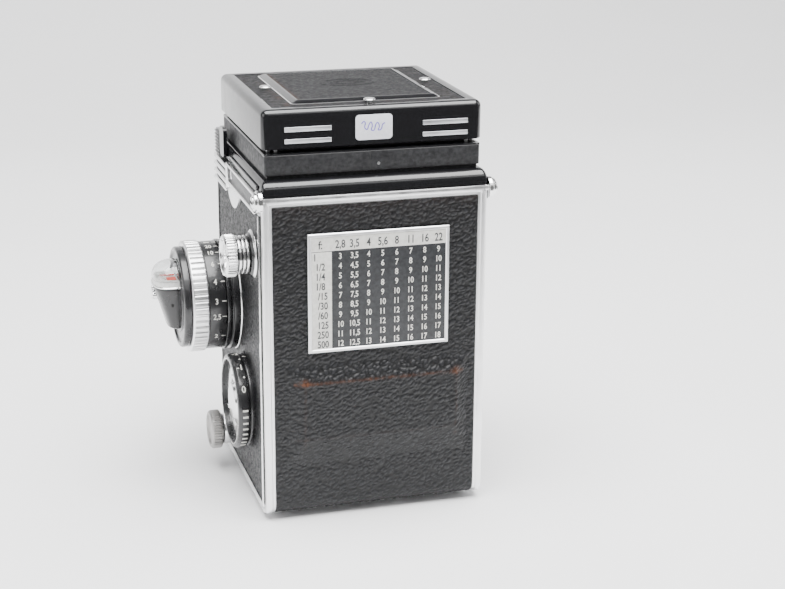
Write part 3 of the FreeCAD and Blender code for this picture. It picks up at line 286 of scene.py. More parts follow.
def rounded(points, radius, steps=3, closed=False):
    """A 2-D outline with its inner corners turned into small arcs."""
    out = []
    count = len(points)
    for i, p in enumerate(points):
        if not closed and i in (0, count - 1):
            out.append(p)
            continue
        a, b = points[i - 1], points[(i + 1) % count]
        to_a, to_b = Vector((a[0] - p[0], a[1] - p[1])), Vector((b[0] - p[0], b[1] - p[1]))
        reach = min(radius, 0.45 * to_a.length, 0.45 * to_b.length)
        if reach < 1e-5:
            out.append(p)
            continue
        start, end = Vector(p) + to_a.normalized() * reach, Vector(p) + to_b.normalized() * reach
        for k in range(steps + 1):
            t = k / steps
            q = start * (1 - t) ** 2 + Vector(p) * 2 * t * (1 - t) + end * t ** 2
            out.append((q.x, q.y))
    return out


def axis_point(axis, centre, along, r, angle):
    """A point at a radius and angle round an axis; centre is the two other coordinates."""
    a, b = centre[0] + r * math.cos(angle), centre[1] + r * math.sin(angle)
    return {"X": (along, a, b), "Y": (a, along, b), "Z": (a, b, along)}[axis]


def lathe(name, axis, centre, profile, material, body, ring=False, segments=128, edge=0.15, shape=None,
        **rest):
    """Turns a profile of (along, radius) points; ring closes the profile into a hollow ring."""
    loops = []
    for along, r in rounded(profile, edge, closed=ring):
        loop = []
        for k in range(segments):
            angle = 2 * math.pi * k / segments
            reach = shape(along, r, angle) if shape else r
            loop.append(axis_point(axis, centre, along, reach, angle))
        loops.append(loop)
    return loft(name, loops, material, body, closed=ring, **rest)


def flutes(count, depth, start, stop, sharpness=1.0, centre=0.0):
    """A lathe shape that cuts flutes between two places along the axis."""
    def shape(along, r, angle):
        if not start <= along <= stop:
            return r
        wave = 0.5 - 0.5 * math.cos(count * angle)
        return r - depth * wave ** sharpness if r > centre else r
    return shape


def rounded_rect(x0, x1, y0, y1, r, steps=6):
    points = []
    r = max(r, 0.01)
    for cx, cy, start in ((x1 - r, y1 - r, 0), (x0 + r, y1 - r, 90), (x0 + r, y0 + r, 180),
            (x1 - r, y0 + r, 270)):
        for k in range(steps + 1):
            a = math.radians(start + 90 * k / steps)
            points.append((cx + r * math.cos(a), cy + r * math.sin(a)))
    return points


def loft(name, loops, material, body, closed=False, capped=True, **rest):
    """Joins loops of the same number of points into one skin."""
    n = len(loops[0])
    verts = [p for loop in loops for p in loop]
    faces = []
    rows = len(loops)
    for i in range(rows if closed else rows - 1):
        j = (i + 1) % rows
        for k in range(n):
            m = (k + 1) % n
            faces.append((i * n + k, i * n + m, j * n + m, j * n + k))
    if not closed and capped:
        faces.append(tuple(range(n)))
        faces.append(tuple((rows - 1) * n + k for k in range(n)))
    return put(name, verts, faces, material, body, **rest)


def box_piece(name, low, high, radius, material, body, thin=2, **rest):
    """A box with all its edges rounded; thin names the axis along which its loops are stacked."""
    u, v = [i for i in range(3) if i != thin]
    arc = [math.pi / 2 * k / 3 for k in range(4)]
    foot = [(low[thin] + radius * (1 - math.sin(a)), radius * (1 - math.cos(a))) for a in reversed(arc)]
    head = [(high[thin] - (z - low[thin]), d) for z, d in reversed(foot)]
    loops = []
    for z, inset in foot + head:
        loop = []
        for a, b in rounded_rect(low[u] + inset, high[u] - inset, low[v] + inset, high[v] - inset,
                max(radius - inset, 0.02), 4):
            p = {u: a, v: b, thin: z}
            loop.append((p[0], p[1], p[2]))
        loops.append(loop)
    return loft(name, loops, material, body, **rest)


def upright_stack(name, rect, levels, steps, material, body, **rest):
    """Lofts upright rounded rectangles (x0, x1, z0, z1, corner radius) at levels of (inset, y)."""
    x0, x1, z0, z1, radius = rect
    loops = [[(a, y, b) for a, b in rounded_rect(x0 + d, x1 - d, z0 + d, z1 - d, radius, steps)] for d,
        y in levels]
    return loft(name, loops, material, body, **rest)


def curve_mesh(curve):
    """The vertices and faces of a curve, which is then removed."""
    obj = bpy.data.objects.new("curve", curve)
    bpy.context.scene.collection.objects.link(obj)
    mesh = bpy.data.meshes.new_from_object(obj.evaluated_get(bpy.context.evaluated_depsgraph_get()))
    verts = [tuple(v.co) for v in mesh.vertices]
    faces = [tuple(p.vertices) for p in mesh.polygons]
    bpy.data.objects.remove(obj)
    bpy.data.curves.remove(curve)
    bpy.data.meshes.remove(mesh)
    return verts, faces


def text_mesh(text, height):
    """The vertices and faces of a line of digits, its cap height in mm, its middle at the origin."""
    curve = bpy.data.curves.new("text", "FONT")
    curve.body = text
    curve.align_x = "CENTER"
    curve.size = height / CAP_SHARE
    curve.extrude = 0.03
    curve.offset = 0.016 * curve.size
    curve.resolution_u = 3
    verts, faces = curve_mesh(curve)
    return [(x, y - height / 2, z) for x, y, z in verts], faces


def digits(name, marks, material, body):
    """Many short texts as one piece; each mark is (text, height, width factor, mapper)."""
    verts, faces = [], []
    for text, height, stretch, mapper in marks:
        points, polygons = text_mesh(text, height)
        first = len(verts)
        verts += [mapper(x * stretch, y, z + 0.03) for x, y, z in points]
        faces += [tuple(i + first for i in p) for p in polygons]
    return put(name, verts, faces, material, body, sharp=20)


def patches(name, quads, material, body):
    """Small painted bars: each quad is (u0, u1, v0, v1, mapper), cut across so that it can bend."""
    verts, faces = [], []
    for u0, u1, v0, v1, mapper in quads:
        first = len(verts)
        steps = 4
        for w in (0.0, 0.05):
            for k in range(steps + 1):
                v = v0 + (v1 - v0) * k / steps
                verts += [mapper(u0, v, w), mapper(u1, v, w)]
        top = first + 2 * (steps + 1)
        for k in range(steps):
            a = first + 2 * k
            b = top + 2 * k
            faces += [(a, a + 1, a + 3, a + 2), (b, b + 2, b + 3, b + 1), (a, a + 2, b + 2, b),
                (a + 1, b + 1, b + 3, a + 3)]
        last = first + 2 * steps
        faces += [(first, top, top + 1, first + 1), (last, last + 1, top + 2 * steps + 1, top + 2 * steps)]
    return put(name, verts, faces, material, body, sharp=20)


def drum_map(x, centre, radius, angle_deg, toward=-1):
    """Puts flat text on a drum round X; angle 0 is the top and 90 is the rear."""
    start = math.radians(angle_deg)

    def mapper(u, v, w):
        a = start - v / radius
        r = radius + w
        return (x + toward * u, centre[0] + r * math.sin(a), centre[1] + r * math.cos(a))
    return mapper


# ---- leather skins
def pebbles(u, v, size, stretch, turn):
    """Height from 0 to 1 of irregular grain, drawn out along a slanting direction."""
    c, s = math.cos(math.radians(turn)), math.sin(math.radians(turn))
    p = Vector((u * c + v * s, v * c - u * s, 0.0))
    warp = noise.noise_vector(p * 0.6) * 0.5
    q = Vector(((p.x + warp.x) / stretch, p.y + warp.y, 0.0)) / size
    near = noise.voronoi(q)[0]
    crease = min((near[1] - near[0]) / 0.32, 1.0)
    crease = crease * crease * (3 - 2 * crease)
    fine = 0.5 + 0.5 * noise.noise(Vector((p.x * 1.6, p.y * 3.2, 4.0)))
    return crease * (0.6 + 0.4 * fine)


def leather_sheet(name, place, u_span, v_span, step, material, body, grain, wear=None, keep=None, **rest):
    """A skin over place(u, v) -> (point, outward normal), with real pebbled grain and a closed rim."""
    size, depth, stretch, turn = grain
    nu = int((u_span[1] - u_span[0]) / step)
    nv = int((v_span[1] - v_span[0]) / step)
    verts, faces, worn, crease_shade_heights = [], [], [], []
    for j in range(nv + 1):
        v = v_span[0] + (v_span[1] - v_span[0]) * j / nv
        for i in range(nu + 1):
            u = u_span[0] + (u_span[1] - u_span[0]) * i / nu
            point, normal, lift = place(u, v)
            edge = min(u - u_span[0], u_span[1] - u, v - v_span[0], v_span[1] - v)
            rim = min(edge / 0.8, 1.0)
            pebble = pebbles(u, v, size, stretch, turn)
            height = depth * (pebble - 1.0) * (0.35 + 0.65 * rim) - 0.25 * (1 - rim) ** 2
            verts.append(point + normal * (height + lift))
            worn.append(wear(u, v) if wear else 0.0)
            crease_shade_heights.append(pebble)
    row = nu + 1
    used = set()
    for j in range(nv):
        for i in range(nu):
            if keep and not keep(u_span[0] + (i + 0.5) * (u_span[1] - u_span[0]) / nu,
                    v_span[0] + (j + 0.5) * (v_span[1] - v_span[0]) / nv):
                continue
            a = j * row + i
            faces.append((a, a + 1, a + row + 1, a + row))
            used.update(faces[-1])
    used = sorted(used)
    order = {old: new for new, old in enumerate(used)}
    verts, worn, crease_shade_heights = [[values[i] for i in used] for values in (verts, worn, crease_shade_heights)]
    faces = [tuple(order[i] for i in f) for f in faces]
    obj = put(name, verts, faces, material, body, sharp=75, **rest)
    # "grain" holds the pebble heights that darken the creases as painted shade; "wear" marks the rubbed hide
    for layer_name, values in (("wear", worn), ("grain", crease_shade_heights)):
        obj.data.attributes.new(layer_name, "FLOAT", "POINT").data.foreach_set("value", values)
    solid = obj.modifiers.new("back", "SOLIDIFY")
    solid.thickness = 0.35 * MM
    solid.offset = -1.0
    bpy.context.view_layer.objects.active = obj
    obj.select_set(True)
    bpy.ops.object.modifier_apply(modifier="back")
    obj.select_set(False)
    return obj


# ---- the back
BODY_LOW, BODY_HIGH = spec("body_casting")
DOOR_LOW, DOOR_HIGH = spec("back_door")
HALF_X = BODY_HIGH.x
REAR_Y = DOOR_HIGH.y
CORNER = 5.0
SHELL_Y = REAR_Y - 0.55
TOP_Z = DOOR_HIGH.z - 0.15
FRAME_WIDTH = 3.4
STRAIGHT = TOP_Z - DOOR_LOW.z - CORNER
UNDER = STRAIGHT + CORNER * math.pi / 2


def back_path(s):
    """Point (y, z) and outward normal at a distance s down the back and round under the body."""
    base = SHELL_Y
    if s <= STRAIGHT:
        return (base, TOP_Z - s), (1.0, 0.0)
    if s <= UNDER:
        a = (s - STRAIGHT) / CORNER
        r = CORNER - 0.55
        return (REAR_Y - CORNER + r * math.cos(a), DOOR_LOW.z + CORNER - r * math.sin(a)), (math.cos(a),
            -math.sin(a))
    return (REAR_Y - CORNER - (s - UNDER), DOOR_LOW.z + 0.55), (0.0, -1.0)


FRAME_END = UNDER + 4.4
SEAM = UNDER + 0.3
HUMP_OUT = (-34.0, 33.0, 21.0, 57.6)
HUMP_IN = (-29.3, 26.2, 31.0, 52.0)
HUMP_RISE = 2.45


def hump(x, z):
    """Height of the raised field: four slopes that meet in creases round a flat top."""
    left = (HUMP_OUT[1] - x) / (HUMP_OUT[1] - HUMP_IN[1])
    right = (x - HUMP_OUT[0]) / (HUMP_IN[0] - HUMP_OUT[0])
    top = (HUMP_OUT[3] - z) / (HUMP_OUT[3] - HUMP_IN[3])
    foot = (z - HUMP_OUT[2]) / (HUMP_IN[2] - HUMP_OUT[2])
    slope = min(left, right, top, foot)
    return HUMP_RISE * min(max(slope, 0.0), 1.0)


def back_place(u, s):
    (y, z), (ny, nz) = back_path(s)
    lift = 0.35 + (hump(u, z) if s < STRAIGHT else 0.0)
    return Vector((u, y, z)), Vector((0.0, ny, nz)), lift


def crease_wear(u, s):
    """How far the black is rubbed off: along the top crease, its corners and the low edges of the hump."""
    z = TOP_Z - s
    inside = HUMP_IN[0] - 3 < u < HUMP_IN[1] + 4
    patchy = 0.5 + 0.5 * noise.noise(Vector((u * 0.45, z * 0.45, 3.0)))
    line = math.exp(-((z - HUMP_IN[3] + 0.3) / 0.55) ** 2) * (0.12 + 0.6 * patchy ** 1.5) if inside else 0.0
    corner = 0.0
    for cx, weight in ((HUMP_IN[1], 1.0), (HUMP_IN[0], 0.75)):
        corner += weight * math.exp(-((u - cx) / 1.7) ** 2 - ((z - HUMP_IN[3]) / 1.1) ** 2)
    sides = 0.0
    for cx in (HUMP_IN[0], HUMP_IN[1]):
        if HUMP_IN[2] - 4 < z < HUMP_IN[3]:
            sides += 0.3 * math.exp(-((u - cx) / 0.5) ** 2) * patchy ** 2
    low = 0.15 * math.exp(-((z - HUMP_IN[2]) / 0.5) ** 2) * patchy ** 2 if inside else 0.0
    speck = max(noise.noise(Vector((u * 1.7, z * 1.7, 9.0))) - 0.5, 0.0)
    rim = 0.25 * math.exp(-(s / 4.0)) * patchy
    return min(line + corner + sides + low + speck * 0.5 + rim, 1.0)


def back_frame():
    """The plated frame of the back: a convex rim with a lower inner step, swept round the leather."""
    profile = [(0.0, -1.4), (0.0, -0.25), (0.12, 0.12), (0.45, 0.38), (1.0, 0.52), (1.6, 0.52), (2.1, 0.4),
        (2.35, 0.16), (2.45, 0.1), (3.25, 0.06), (3.35, -0.3), (3.35, -1.4)]
    loops = []
    for inset, height in profile:
        x0, x1 = -HALF_X + inset, HALF_X - inset
        s0, s1 = inset, FRAME_END - inset
        points = []
        edge_steps = 60
        ring = [(x0 + (x1 - x0) * k / 8, s0) for k in range(8)]
        ring += [(x1, s0 + (s1 - s0) * k / edge_steps) for k in range(edge_steps)]
        ring += [(x1 + (x0 - x1) * k / 8, s1) for k in range(8)]
        ring += [(x0, s1 + (s0 - s1) * k / edge_steps) for k in range(edge_steps)]
        for x, s in ring:
            (y, z), (ny, nz) = back_path(s)
            points.append((x, y + ny * height, z + nz * height))
        loops.append(points)
    return loft("back_frame", loops, SATIN, "back", closed=True, slot="satin_chrome", sharp=28)


def back_shell():
    """The sheet inside the frame, down to the seam with the floor plate."""
    outer, inner = [], []
    for k in range(90):
        s = SEAM * k / 89
        (y, z), (ny, nz) = back_path(s)
        outer.append((y - ny * 0.3, z - nz * 0.3))
        inner.append((y - ny * 2.2, z - nz * 0.85))
    loops = []
    for x in (-HALF_X + 0.05, HALF_X - 0.05):
        loops.append([(x, y, z) for y, z in outer] + [(x, y, z) for y, z in reversed(inner)])
    return loft("back_shell", loops, SATIN, "back", replaces=("back_door",), slot="satin_chrome", sharp=30)


def back_hinge():
    low = DOOR_HIGH.z - 1.4
    return lathe("back_hinge_barrel", "X", (37.3, low), [(-HALF_X + 0.05, 1.36), (HALF_X - 0.05, 1.36)],
        SATIN, "back", segments=32, slot="satin_chrome")


def make_back():
    back_frame()
    back_shell()
    back_hinge()
    inset = FRAME_WIDTH + 0.05
    leather_sheet("back_leather_skin", back_place, (-HALF_X + inset, HALF_X - inset),
        (inset, FRAME_END - inset), 0.32, LEATHER, "back", BACK_GRAIN, wear=crease_wear,
        replaces=("back_leather",))
    low, high = spec("exposure_table")
    y = low.y
    profile = [(0.0, -0.2), (0.0, 0.3), (0.25, 0.62), (1.0, 0.62), (1.3, 0.34), (1.3, -0.2)]
    upright_stack("table_frame", (low.x, high.x, low.z, high.z, 0.25), [(d, y + height) for d,
        height in profile], 3, SATIN, "back", closed=True, replaces=("exposure_table",), slot="table_metal")
    make_table(low, high, y + 0.34)


def make_table(low, high, y):
    """The exposure table: a light header row and first column round a black field of numbers."""
    left, right = high.x - 1.35, low.x + 1.35
    top, foot = high.z - 1.35, low.z + 1.35
    header = 5.1
    column = 7.1
    row = (top - header - foot) / 10
    body = "back"
    box_piece("table_field", (right, y - 0.3, foot), (left - column, y, top - header), 0.03, TABLE_BLACK,
        body, 1)
    box_piece("table_header", (right, y - 0.3, top - header + 0.12), (left, y + 0.01, top), 0.03,
        TABLE_LIGHT, body, 1, slot="table_metal")
    box_piece("table_column", (left - column, y - 0.3, foot), (left, y + 0.01, top - header - 0.12), 0.03,
        TABLE_LIGHT, body, 1, slot="table_metal")

    def at(u, z, level):
        return lambda a, b, w: (left - u - a, level + w, z + b)

    pitch = (left - column - right - 0.6) / 8
    centres = [column + 0.5 + pitch * (k + 0.5) for k in range(8)]
    heads = ["2,8", "3,5", "4", "5,6", "8", "11", "16", "22"]
    dark = [(t, 2.9, 0.74, at(c, top - header / 2, y)) for t, c in zip(heads, centres)]
    dark.append(("f:", 2.9, 0.8, at(3.1, top - header / 2, y)))
    times = ["1", "1/2", "1/4", "1/8", "/15", "/30", "/60", "125", "250", "500"]
    for k, t in enumerate(times):
        z = top - header - row * (k + 0.5)
        shift = 1.1 if k == 0 else (3.0 if k < 4 else 3.9)
        dark.append((t, 2.6, 0.76, at(shift, z, y)))
    light = []
    for k in range(10):
        z = top - header - row * (k + 0.5)
        values = [str(3 + k), "%d,5" % (3 + k)] + [str(n + k) for n in range(4, 10)]
        light += [(t, 2.15, 0.8, at(c, z, y - 0.02)) for t, c in zip(values, centres)]
    digits("table_dark_digits", dark, INK_BLACK, body)
    digits("table_light_digits", light, INK_WHITE, body)


# ---- hood and deck
def rect_stack(name, sections, material, body, closed=False, **rest):
    """Lofts rounded rectangles given as (x0, x1, y0, y1, corner radius, z)."""
    loops = [[(x, y, s[5]) for x, y in rounded_rect(*s[:5])] for s in sections]
    return loft(name, loops, material, body, closed=closed, **rest)


def shrink(rect, d, z, r=None):
    """One section of a stack: the rectangle drawn in by d, at height z."""
    x0, x1, y0, y1, radius = rect
    return (x0 + d, x1 - d, y0 + d, y1 - d, max(radius - d, 0.05) if r is None else r, z)


def layers(rect, *levels):
    """Several sections of one rectangle, each given as (d, z) or (d, z, corner radius)."""
    return [shrink(rect, *level) for level in levels]


def curve_over(rect, z_side, radius, steps=6):
    """Sections that round the top edge of a rectangle."""
    out = []
    for k in range(steps + 1):
        a = math.pi / 2 * k / steps
        out.append(shrink(rect, radius * (1 - math.cos(a)), z_side + radius * math.sin(a)))
    return out


def make_deck():
    low, high = spec("top_deck")
    rear = high.y
    lip = 119.2
    outer = (low.x, high.x, low.y, rear, 1.2)
    inner = (-27.0, 27.0, -28.0, 24.0, 0.5)
    roll_y, roll_x = 3.8, 1.9
    sections = [shrink(outer, 0.0, lip + 0.05)]
    for k in range(11):
        a = math.pi / 2 * k / 10
        dx, dy = roll_x * (1 - math.cos(a)), roll_y * (1 - math.cos(a))
        sections.append((low.x + dx, high.x - dx, low.y + dx, rear - dy, 1.2,
            high.z - roll_y * (1 - math.sin(a))))
    seat = (-29.0, 29.0, -30.0, 26.0, 0.5)
    sections += [seat + (high.z,), seat + (119.6,), inner + (119.6,), inner + (118.55,)]
    wall = (low.x, high.x, low.y, 35.5, 0.3)
    sections += [wall + (118.55,), wall + (lip,)]
    rect_stack("deck_roll", sections, ENAMEL, FIXED, closed=True, replaces=("top_deck",),
        slot="gloss_enamel", sharp=40)


def make_hood_base():
    low, high = spec("hood_base")
    outer = (low.x, high.x, -37.2, 34.9, 0.9)
    hole = (-30.5, 30.5, -31.0, 27.0, 0.8)
    top = 133.0
    sections = [*layers(outer, (0.9, 124.35), (0.9, 125.3), (0.15, 125.6), (0.0, 125.9), (0.0, top - 0.7),
        (0.25, top - 0.15), (0.5, top)), hole + (top,), hole + (124.35,)]
    rect_stack("hood_base_frame", sections, CRACKLE, FIXED, closed=True, slot="crackle_enamel", sharp=40,
        replaces=("hood_base",))
    for side in (-1, 1):
        for k, (x0, x1, y0, y1, z1) in enumerate(((31.5, 33.3, -38.2, -35.5, 134.2),
                (35.3, 36.7, -33.8, -32.6, 134.6), (35.3, 36.7, 30.0, 31.2, 134.6),
                (33.2, 34.4, 31.4, 32.8, 134.6))):
            a, b = sorted((side * x0, side * x1))
            box_piece("hood_lug_%d_%d" % (side + 1, k), (a, y0, 132.8), (b, y1, z1), 0.2, STEEL, FIXED, 2,
                slot="crackle_enamel")
    seam_x = 1.3
    box_piece("hood_seam", (seam_x - 0.12, 34.7, 125.8), (seam_x + 0.12, 34.96, 132.4), 0.05, MATTE, FIXED,
        1, slot="crackle_enamel")
    lathe("hood_pin", "Y", (-1.6, 128.0), [(34.7, 0.55), (35.1, 0.55)], STEEL, FIXED, segments=24,
        edge=0.12)
    ridge = (low.x - 0.15, high.x + 0.15, -37.3, 35.0, 1.0)
    inner = (-37.3, 37.3, -36.4, 34.0, 0.6)
    rect_stack("hood_rim", [*layers(ridge, (0.1, 132.3), (0.0, 132.55), (0.12, 132.9), (0.3, 133.02)),
        inner + (133.02,), inner + (132.3,)], ENAMEL, FIXED, closed=True, slot="crackle_enamel")


def make_lid():
    low, high = spec("hood_lid")
    z0, z1 = 134.5, high.z
    outer = (low.x, high.x, -39.0, LID_REAR, 2.6)
    skin = 1.2
    roll = 2.3
    border = 4.6
    sunk = 0.45
    sections = layers(outer, (skin, z1 - skin, 1.6), (skin, z0 + 0.05, 1.6), (0.3, z0), (0.0, z0 + 0.3),
        (0.0, z1 - roll))
    sections += curve_over(outer, z1 - roll, roll)[1:]
    sections += layers(outer, (border - 0.5, z1, 1.0), (border, z1 - 0.12, 0.8), (border, z1 - sunk, 0.8))
    rect_stack("lid_shell", sections, ENAMEL, "lid", slot="gloss_enamel", replaces=("hood_lid",), sharp=40)
    hinge_y, hinge_z = -37.9, 134.2
    lathe("lid_hinge_barrel", "X", (hinge_y, hinge_z), [(-31.1, 0.95), (31.1, 0.95)], STEEL, "lid",
        segments=24)
    span_x = (low.x + border + 0.1, high.x - border - 0.1)
    span_y = (-39.0 + border + 0.1, LID_REAR - border - 0.1)
    leather_sheet("lid_leather", lambda u, v: (Vector((u, v, z1 - sunk)), Vector((0, 0, 1)), 0.4), span_x,
        span_y, 0.4, FINE_LEATHER, "lid", LID_GRAIN, wear=lid_wear, slot="grained_leather")
    make_panel(z1)
    make_bars()


def lid_wear(u, v):
    patchy = max(noise.noise(Vector((u * 0.3, v * 0.3, 1.0))), 0.0)
    edge = math.exp(-((u - 27.6) / 1.2) ** 2) * (-29 < v < 27)
    return min(0.5 * edge * patchy + 0.1 * patchy, 1.0)


def make_panel(z):
    """The sports-finder panel: thin bright line, bevelled black edge, leather and an embossed badge."""
    low, high = PANEL_LOW, PANEL_HIGH
    rect = (low.x, high.x, low.y, high.y, 1.6)
    body = "lid"
    top = z + 1.15
    rect_stack("panel_line", layers(rect, (-0.45, z - 0.3), (-0.45, z + 0.12), (-0.2, z + 0.22),
        (0.2, z + 0.16), (0.2, z - 0.3)), CHROME, body, closed=True)
    rect_stack("panel_plate", layers(rect, (0.15, z - 0.3), (0.15, z + 0.35), (1.5, top - 0.12), (1.9, top),
        (2.4, top), (2.4, top - 0.25)), ENAMEL, body, replaces=("lid_panel",), sharp=30)
    edge = 2.45

    def place(u, v):
        return Vector((u, v, top - 0.25)), Vector((0, 0, 1)), 0.33 + badge(u, v)

    leather_sheet("panel_leather", place, (low.x + edge, high.x - edge), (low.y + edge, high.y - edge),
        0.42, FINE_LEATHER, body, PANEL_GRAIN, wear=panel_wear, slot="grained_leather")
    for k, (x, y) in enumerate(((29.6, -2.0), (0.0, 29.0), (-29.6, -2.6))):
        neck = [(z - 0.4, 1.2), (z + 0.55, 1.2), (z + 0.75, 2.1), (z + 1.15, 2.15), (z + 1.5, 1.75),
            (z + 1.6, 0.9), (z + 1.6, 0.2)]
        lathe("lid_stud_%d" % k, "Z", (x, y), neck, CHROME, body, segments=48, edge=0.2,
            replaces=("lid_studs",) if k == 0 else ())


def badge(u, v):
    """A plain embossed oval with a smaller lens shape inside it."""
    cx, cy = -0.6, -3.2
    e = math.hypot((u - cx) / 9.4, (v - cy) / 6.0)
    ring = math.exp(-((e - 1.0) / 0.09) ** 2)
    f = abs(u - cx) / 7.2 + abs(v - cy) / 4.0
    lozenge = math.exp(-((f - 0.85) / 0.1) ** 2)
    return 0.38 * max(ring, lozenge)


def panel_wear(u, v):
    near = min(abs(u - (PANEL_HIGH.x - 2.8)), 3.0)
    patchy = 0.5 + 0.5 * noise.noise(Vector((u * 0.5, v * 0.35, 5.0)))
    return min(0.65 * math.exp(-(near / 0.5) ** 2) * patchy, 1.0)


PANEL_LOW, PANEL_HIGH = spec("lid_panel")


def make_bars():
    """Four silver bars and a blank paper label on the lid's rear edge."""
    rear = LID_REAR
    for k, (x0, x1) in enumerate(((14.9, 31.2), (-33.6, -17.4))):
        for j, (a, b) in enumerate(((136.4, 137.9), (140.4, 142.0))):
            box_piece("lid_bar_%d_%d" % (k, j), (x0, rear - 0.15, a), (x1, rear + 0.18, b), 0.1, SILVER_INK,
                "lid", 1, slot="satin_chrome")
    upright_stack("paper_label", (-6.5, 6.5, 136.3, 145.0, 1.3), [(0.0, rear - 0.02), (0.0, rear + 0.1),
        (0.05, rear + 0.12)], 5, PAPER, "lid", slot="gloss_enamel")
    points = [(5.2, 2.0), (4.4, 3.4), (3.4, 2.2), (4.2, 0.6), (2.8, -0.8), (2.2, 1.6), (1.2, 3.0),
        (0.6, 1.0), (1.4, -0.8), (-0.2, -1.0), (-0.6, 1.6), (-1.6, 2.6), (-2.4, 0.6), (-1.4, -1.0),
        (-3.2, -0.6), (-3.4, 1.8), (-4.6, 2.0)]
    squiggle("label_squiggle", [(x * 0.85, rear + 0.15, 140.2 + z * 0.85) for x, z in points], 0.2, PEN,
        "lid")


def squiggle(name, points, radius, material, body):
    """A pen stroke: a thin smooth tube through a few points, pressed flat against the label."""
    curve = bpy.data.curves.new(name, "CURVE")
    curve.dimensions = "3D"
    spline = curve.splines.new("NURBS")
    spline.points.add(len(points) - 1)
    for knot, p in zip(spline.points, points):
        knot.co = (*[c * MM for c in p], 1.0)
    spline.order_u = 3
    spline.use_endpoint_u = True
    curve.bevel_depth = radius * MM
    curve.bevel_resolution = 1
    tube, faces = curve_mesh(curve)
    verts = [(x / MM, 34.92 + (y / MM - 34.95) * 0.3, z / MM) for x, y, z in tube]
    return put(name, verts, faces, material, body, slot="gloss_enamel")


# ---- sides
def make_sides():
    low_z, high_z = 6.5, 111.4
    front, rear = -37.0, 34.0
    left_holes = [FOCUS + (20.0,), DIAL + (16.4,), UPPER_SPOOL + (7.6,), LOWER_SPOOL + (6.6,),
        RAIL_TAB + (12.2,)]
    right_holes = [(-4.0, 73.0, 3.0), RAIL_TAB + (12.2,)]
    for side, holes in ((1, left_holes), (-1, right_holes)):
        def place(u, v, side=side):
            return Vector((side * HALF_X, u, v)), Vector((side, 0, 0)), 0.55

        def keep(u, v, holes=holes):
            if v > 108.4 and u < -14.5:
                return False
            return all((u - y) ** 2 + (v - z) ** 2 > r * r for y, z, r in holes)

        label = "left" if side > 0 else "right"
        leather_sheet(label + "_side_leather", place, (front, rear), (low_z, high_z), 0.42, LEATHER, FIXED,
            SIDE_GRAIN + (SIDE_SLANT * side,), keep=keep, replaces=("side_leathers",) if side > 0 else (),
            slot="grained_leather")
        a, b = sorted((side * WALL, side * 40.3))
        box_piece(label + "_side_seam", (a, 35.0, 6.0), (b, 35.8, 112.0), 0.06, MATTE, FIXED, 0,
            slot="gloss_enamel")


def make_rails():
    """The strap fittings: lipped rail, half-round tab, polished stop, ribbed block and black ribbed post."""
    for side in (1, -1):
        label = "left" if side > 0 else "right"
        body = FIXED

        def bar(name, out, y0, y1, z0, z1, radius, material, foot=0.0, side=side, label=label, **rest):
            x0, x1 = sorted((side * (WALL + foot), side * (WALL + out)))
            return box_piece(label + name, (x0, y0, z0), (x1, y1, z1), radius, material, body, 0,
                slot="satin_chrome", **rest)

        bar("_rail_plate", 0.9, -14.4, 32.9, 112.4, 119.6, 0.2, GREY_INLAY,
            replaces=("strap_rails",) if side > 0 else ())
        bar("_rail_low_lip", 1.85, -14.4, 32.9, 112.3, 113.5, 0.3, CHROME)
        bar("_rail_high_lip", 1.85, -14.4, 32.9, 118.5, 119.6, 0.3, CHROME)
        bar("_rail_band", 0.75, -14.4, 32.9, 119.9, 122.2, 0.25, ENAMEL)
        bar("_rail_slot", 1.15, -10.6, -8.9, 114.6, 117.6, 0.2, CHROME)
        bar("_rail_stop", 1.9, -16.2, -13.2, 110.4, 119.6, 0.7, CHROME)
        bar("_block_plate", 0.9, -38.1, -16.2, 108.7, 118.5, 0.2, MATTE)
        for k in range(4):
            low = 108.6 + 2.75 * k
            bar("_block_rib_%d" % k, 1.9, -38.2, -16.2, low, low + 1.6, 0.45, CHROME)
        bar("_post_plate", 0.9, -38.1, -28.8, 118.5, 128.0, 0.2, ENAMEL, foot=-0.7)
        for k in range(7):
            low = 119.0 + 1.28 * k
            bar("_post_rib_%d" % k, 1.5, -38.0, -29.0, low, low + 0.75, 0.25, BLACK_METAL)
        tab = []
        for out, inset in ((0.0, 0.0), (0.8, 0.0), (1.05, 0.12), (1.1, 0.35)):
            r = 12.5 - inset
            start = math.asin(4.6 / r)
            ring = [(side * (WALL + out), -6.5 + r * math.cos(a),
                117.3 - r * math.sin(a)) for a in [start + (math.pi - 2 * start) * k / 40 for k in range(41)]]
            tab.append(ring)
        loft(label + "_rail_tab", tab, SATIN, body, slot="satin_chrome")


def make_hinge_caps():
    """Stepped chrome barrels at the ends of the back's hinge, each with its slot drawn as a dark box of
    painted shade.
    """
    for side in (1, -1):
        label = "left" if side > 0 else "right"
        steps = [(40.15, 0.4), (40.15, 3.9), (41.3, 3.95), (41.8, 3.7), (41.9, 3.1), (42.8, 3.05),
            (43.0, 2.1), (43.4, 2.0), (43.5, 1.6), (43.5, 0.4)]
        lathe(label + "_hinge_cap", "X", DOOR_HINGE, [(side * x, r) for x, r in steps], CHROME, FIXED,
            segments=72, edge=0.15, replaces=("door_hinge_caps",) if side > 0 else ())
        # painted shade: a dark box in place of the cut slot
        x0, x1 = sorted((side * 41.9, side * 43.6))
        box_piece(label + "_hinge_slot_shade", (x0, 35.4, 117.1), (x1, 39.2, 118.1), 0.08, MATTE, FIXED, 0,
            slot="satin_chrome")
        x0, x1 = sorted((side * 40.1, side * 40.8))
        box_piece(label + "_hinge_foot", (x0, 34.0, 115.2), (x1, 35.6, 120.0), 0.2, CHROME, FIXED, 0,
            slot="satin_chrome")


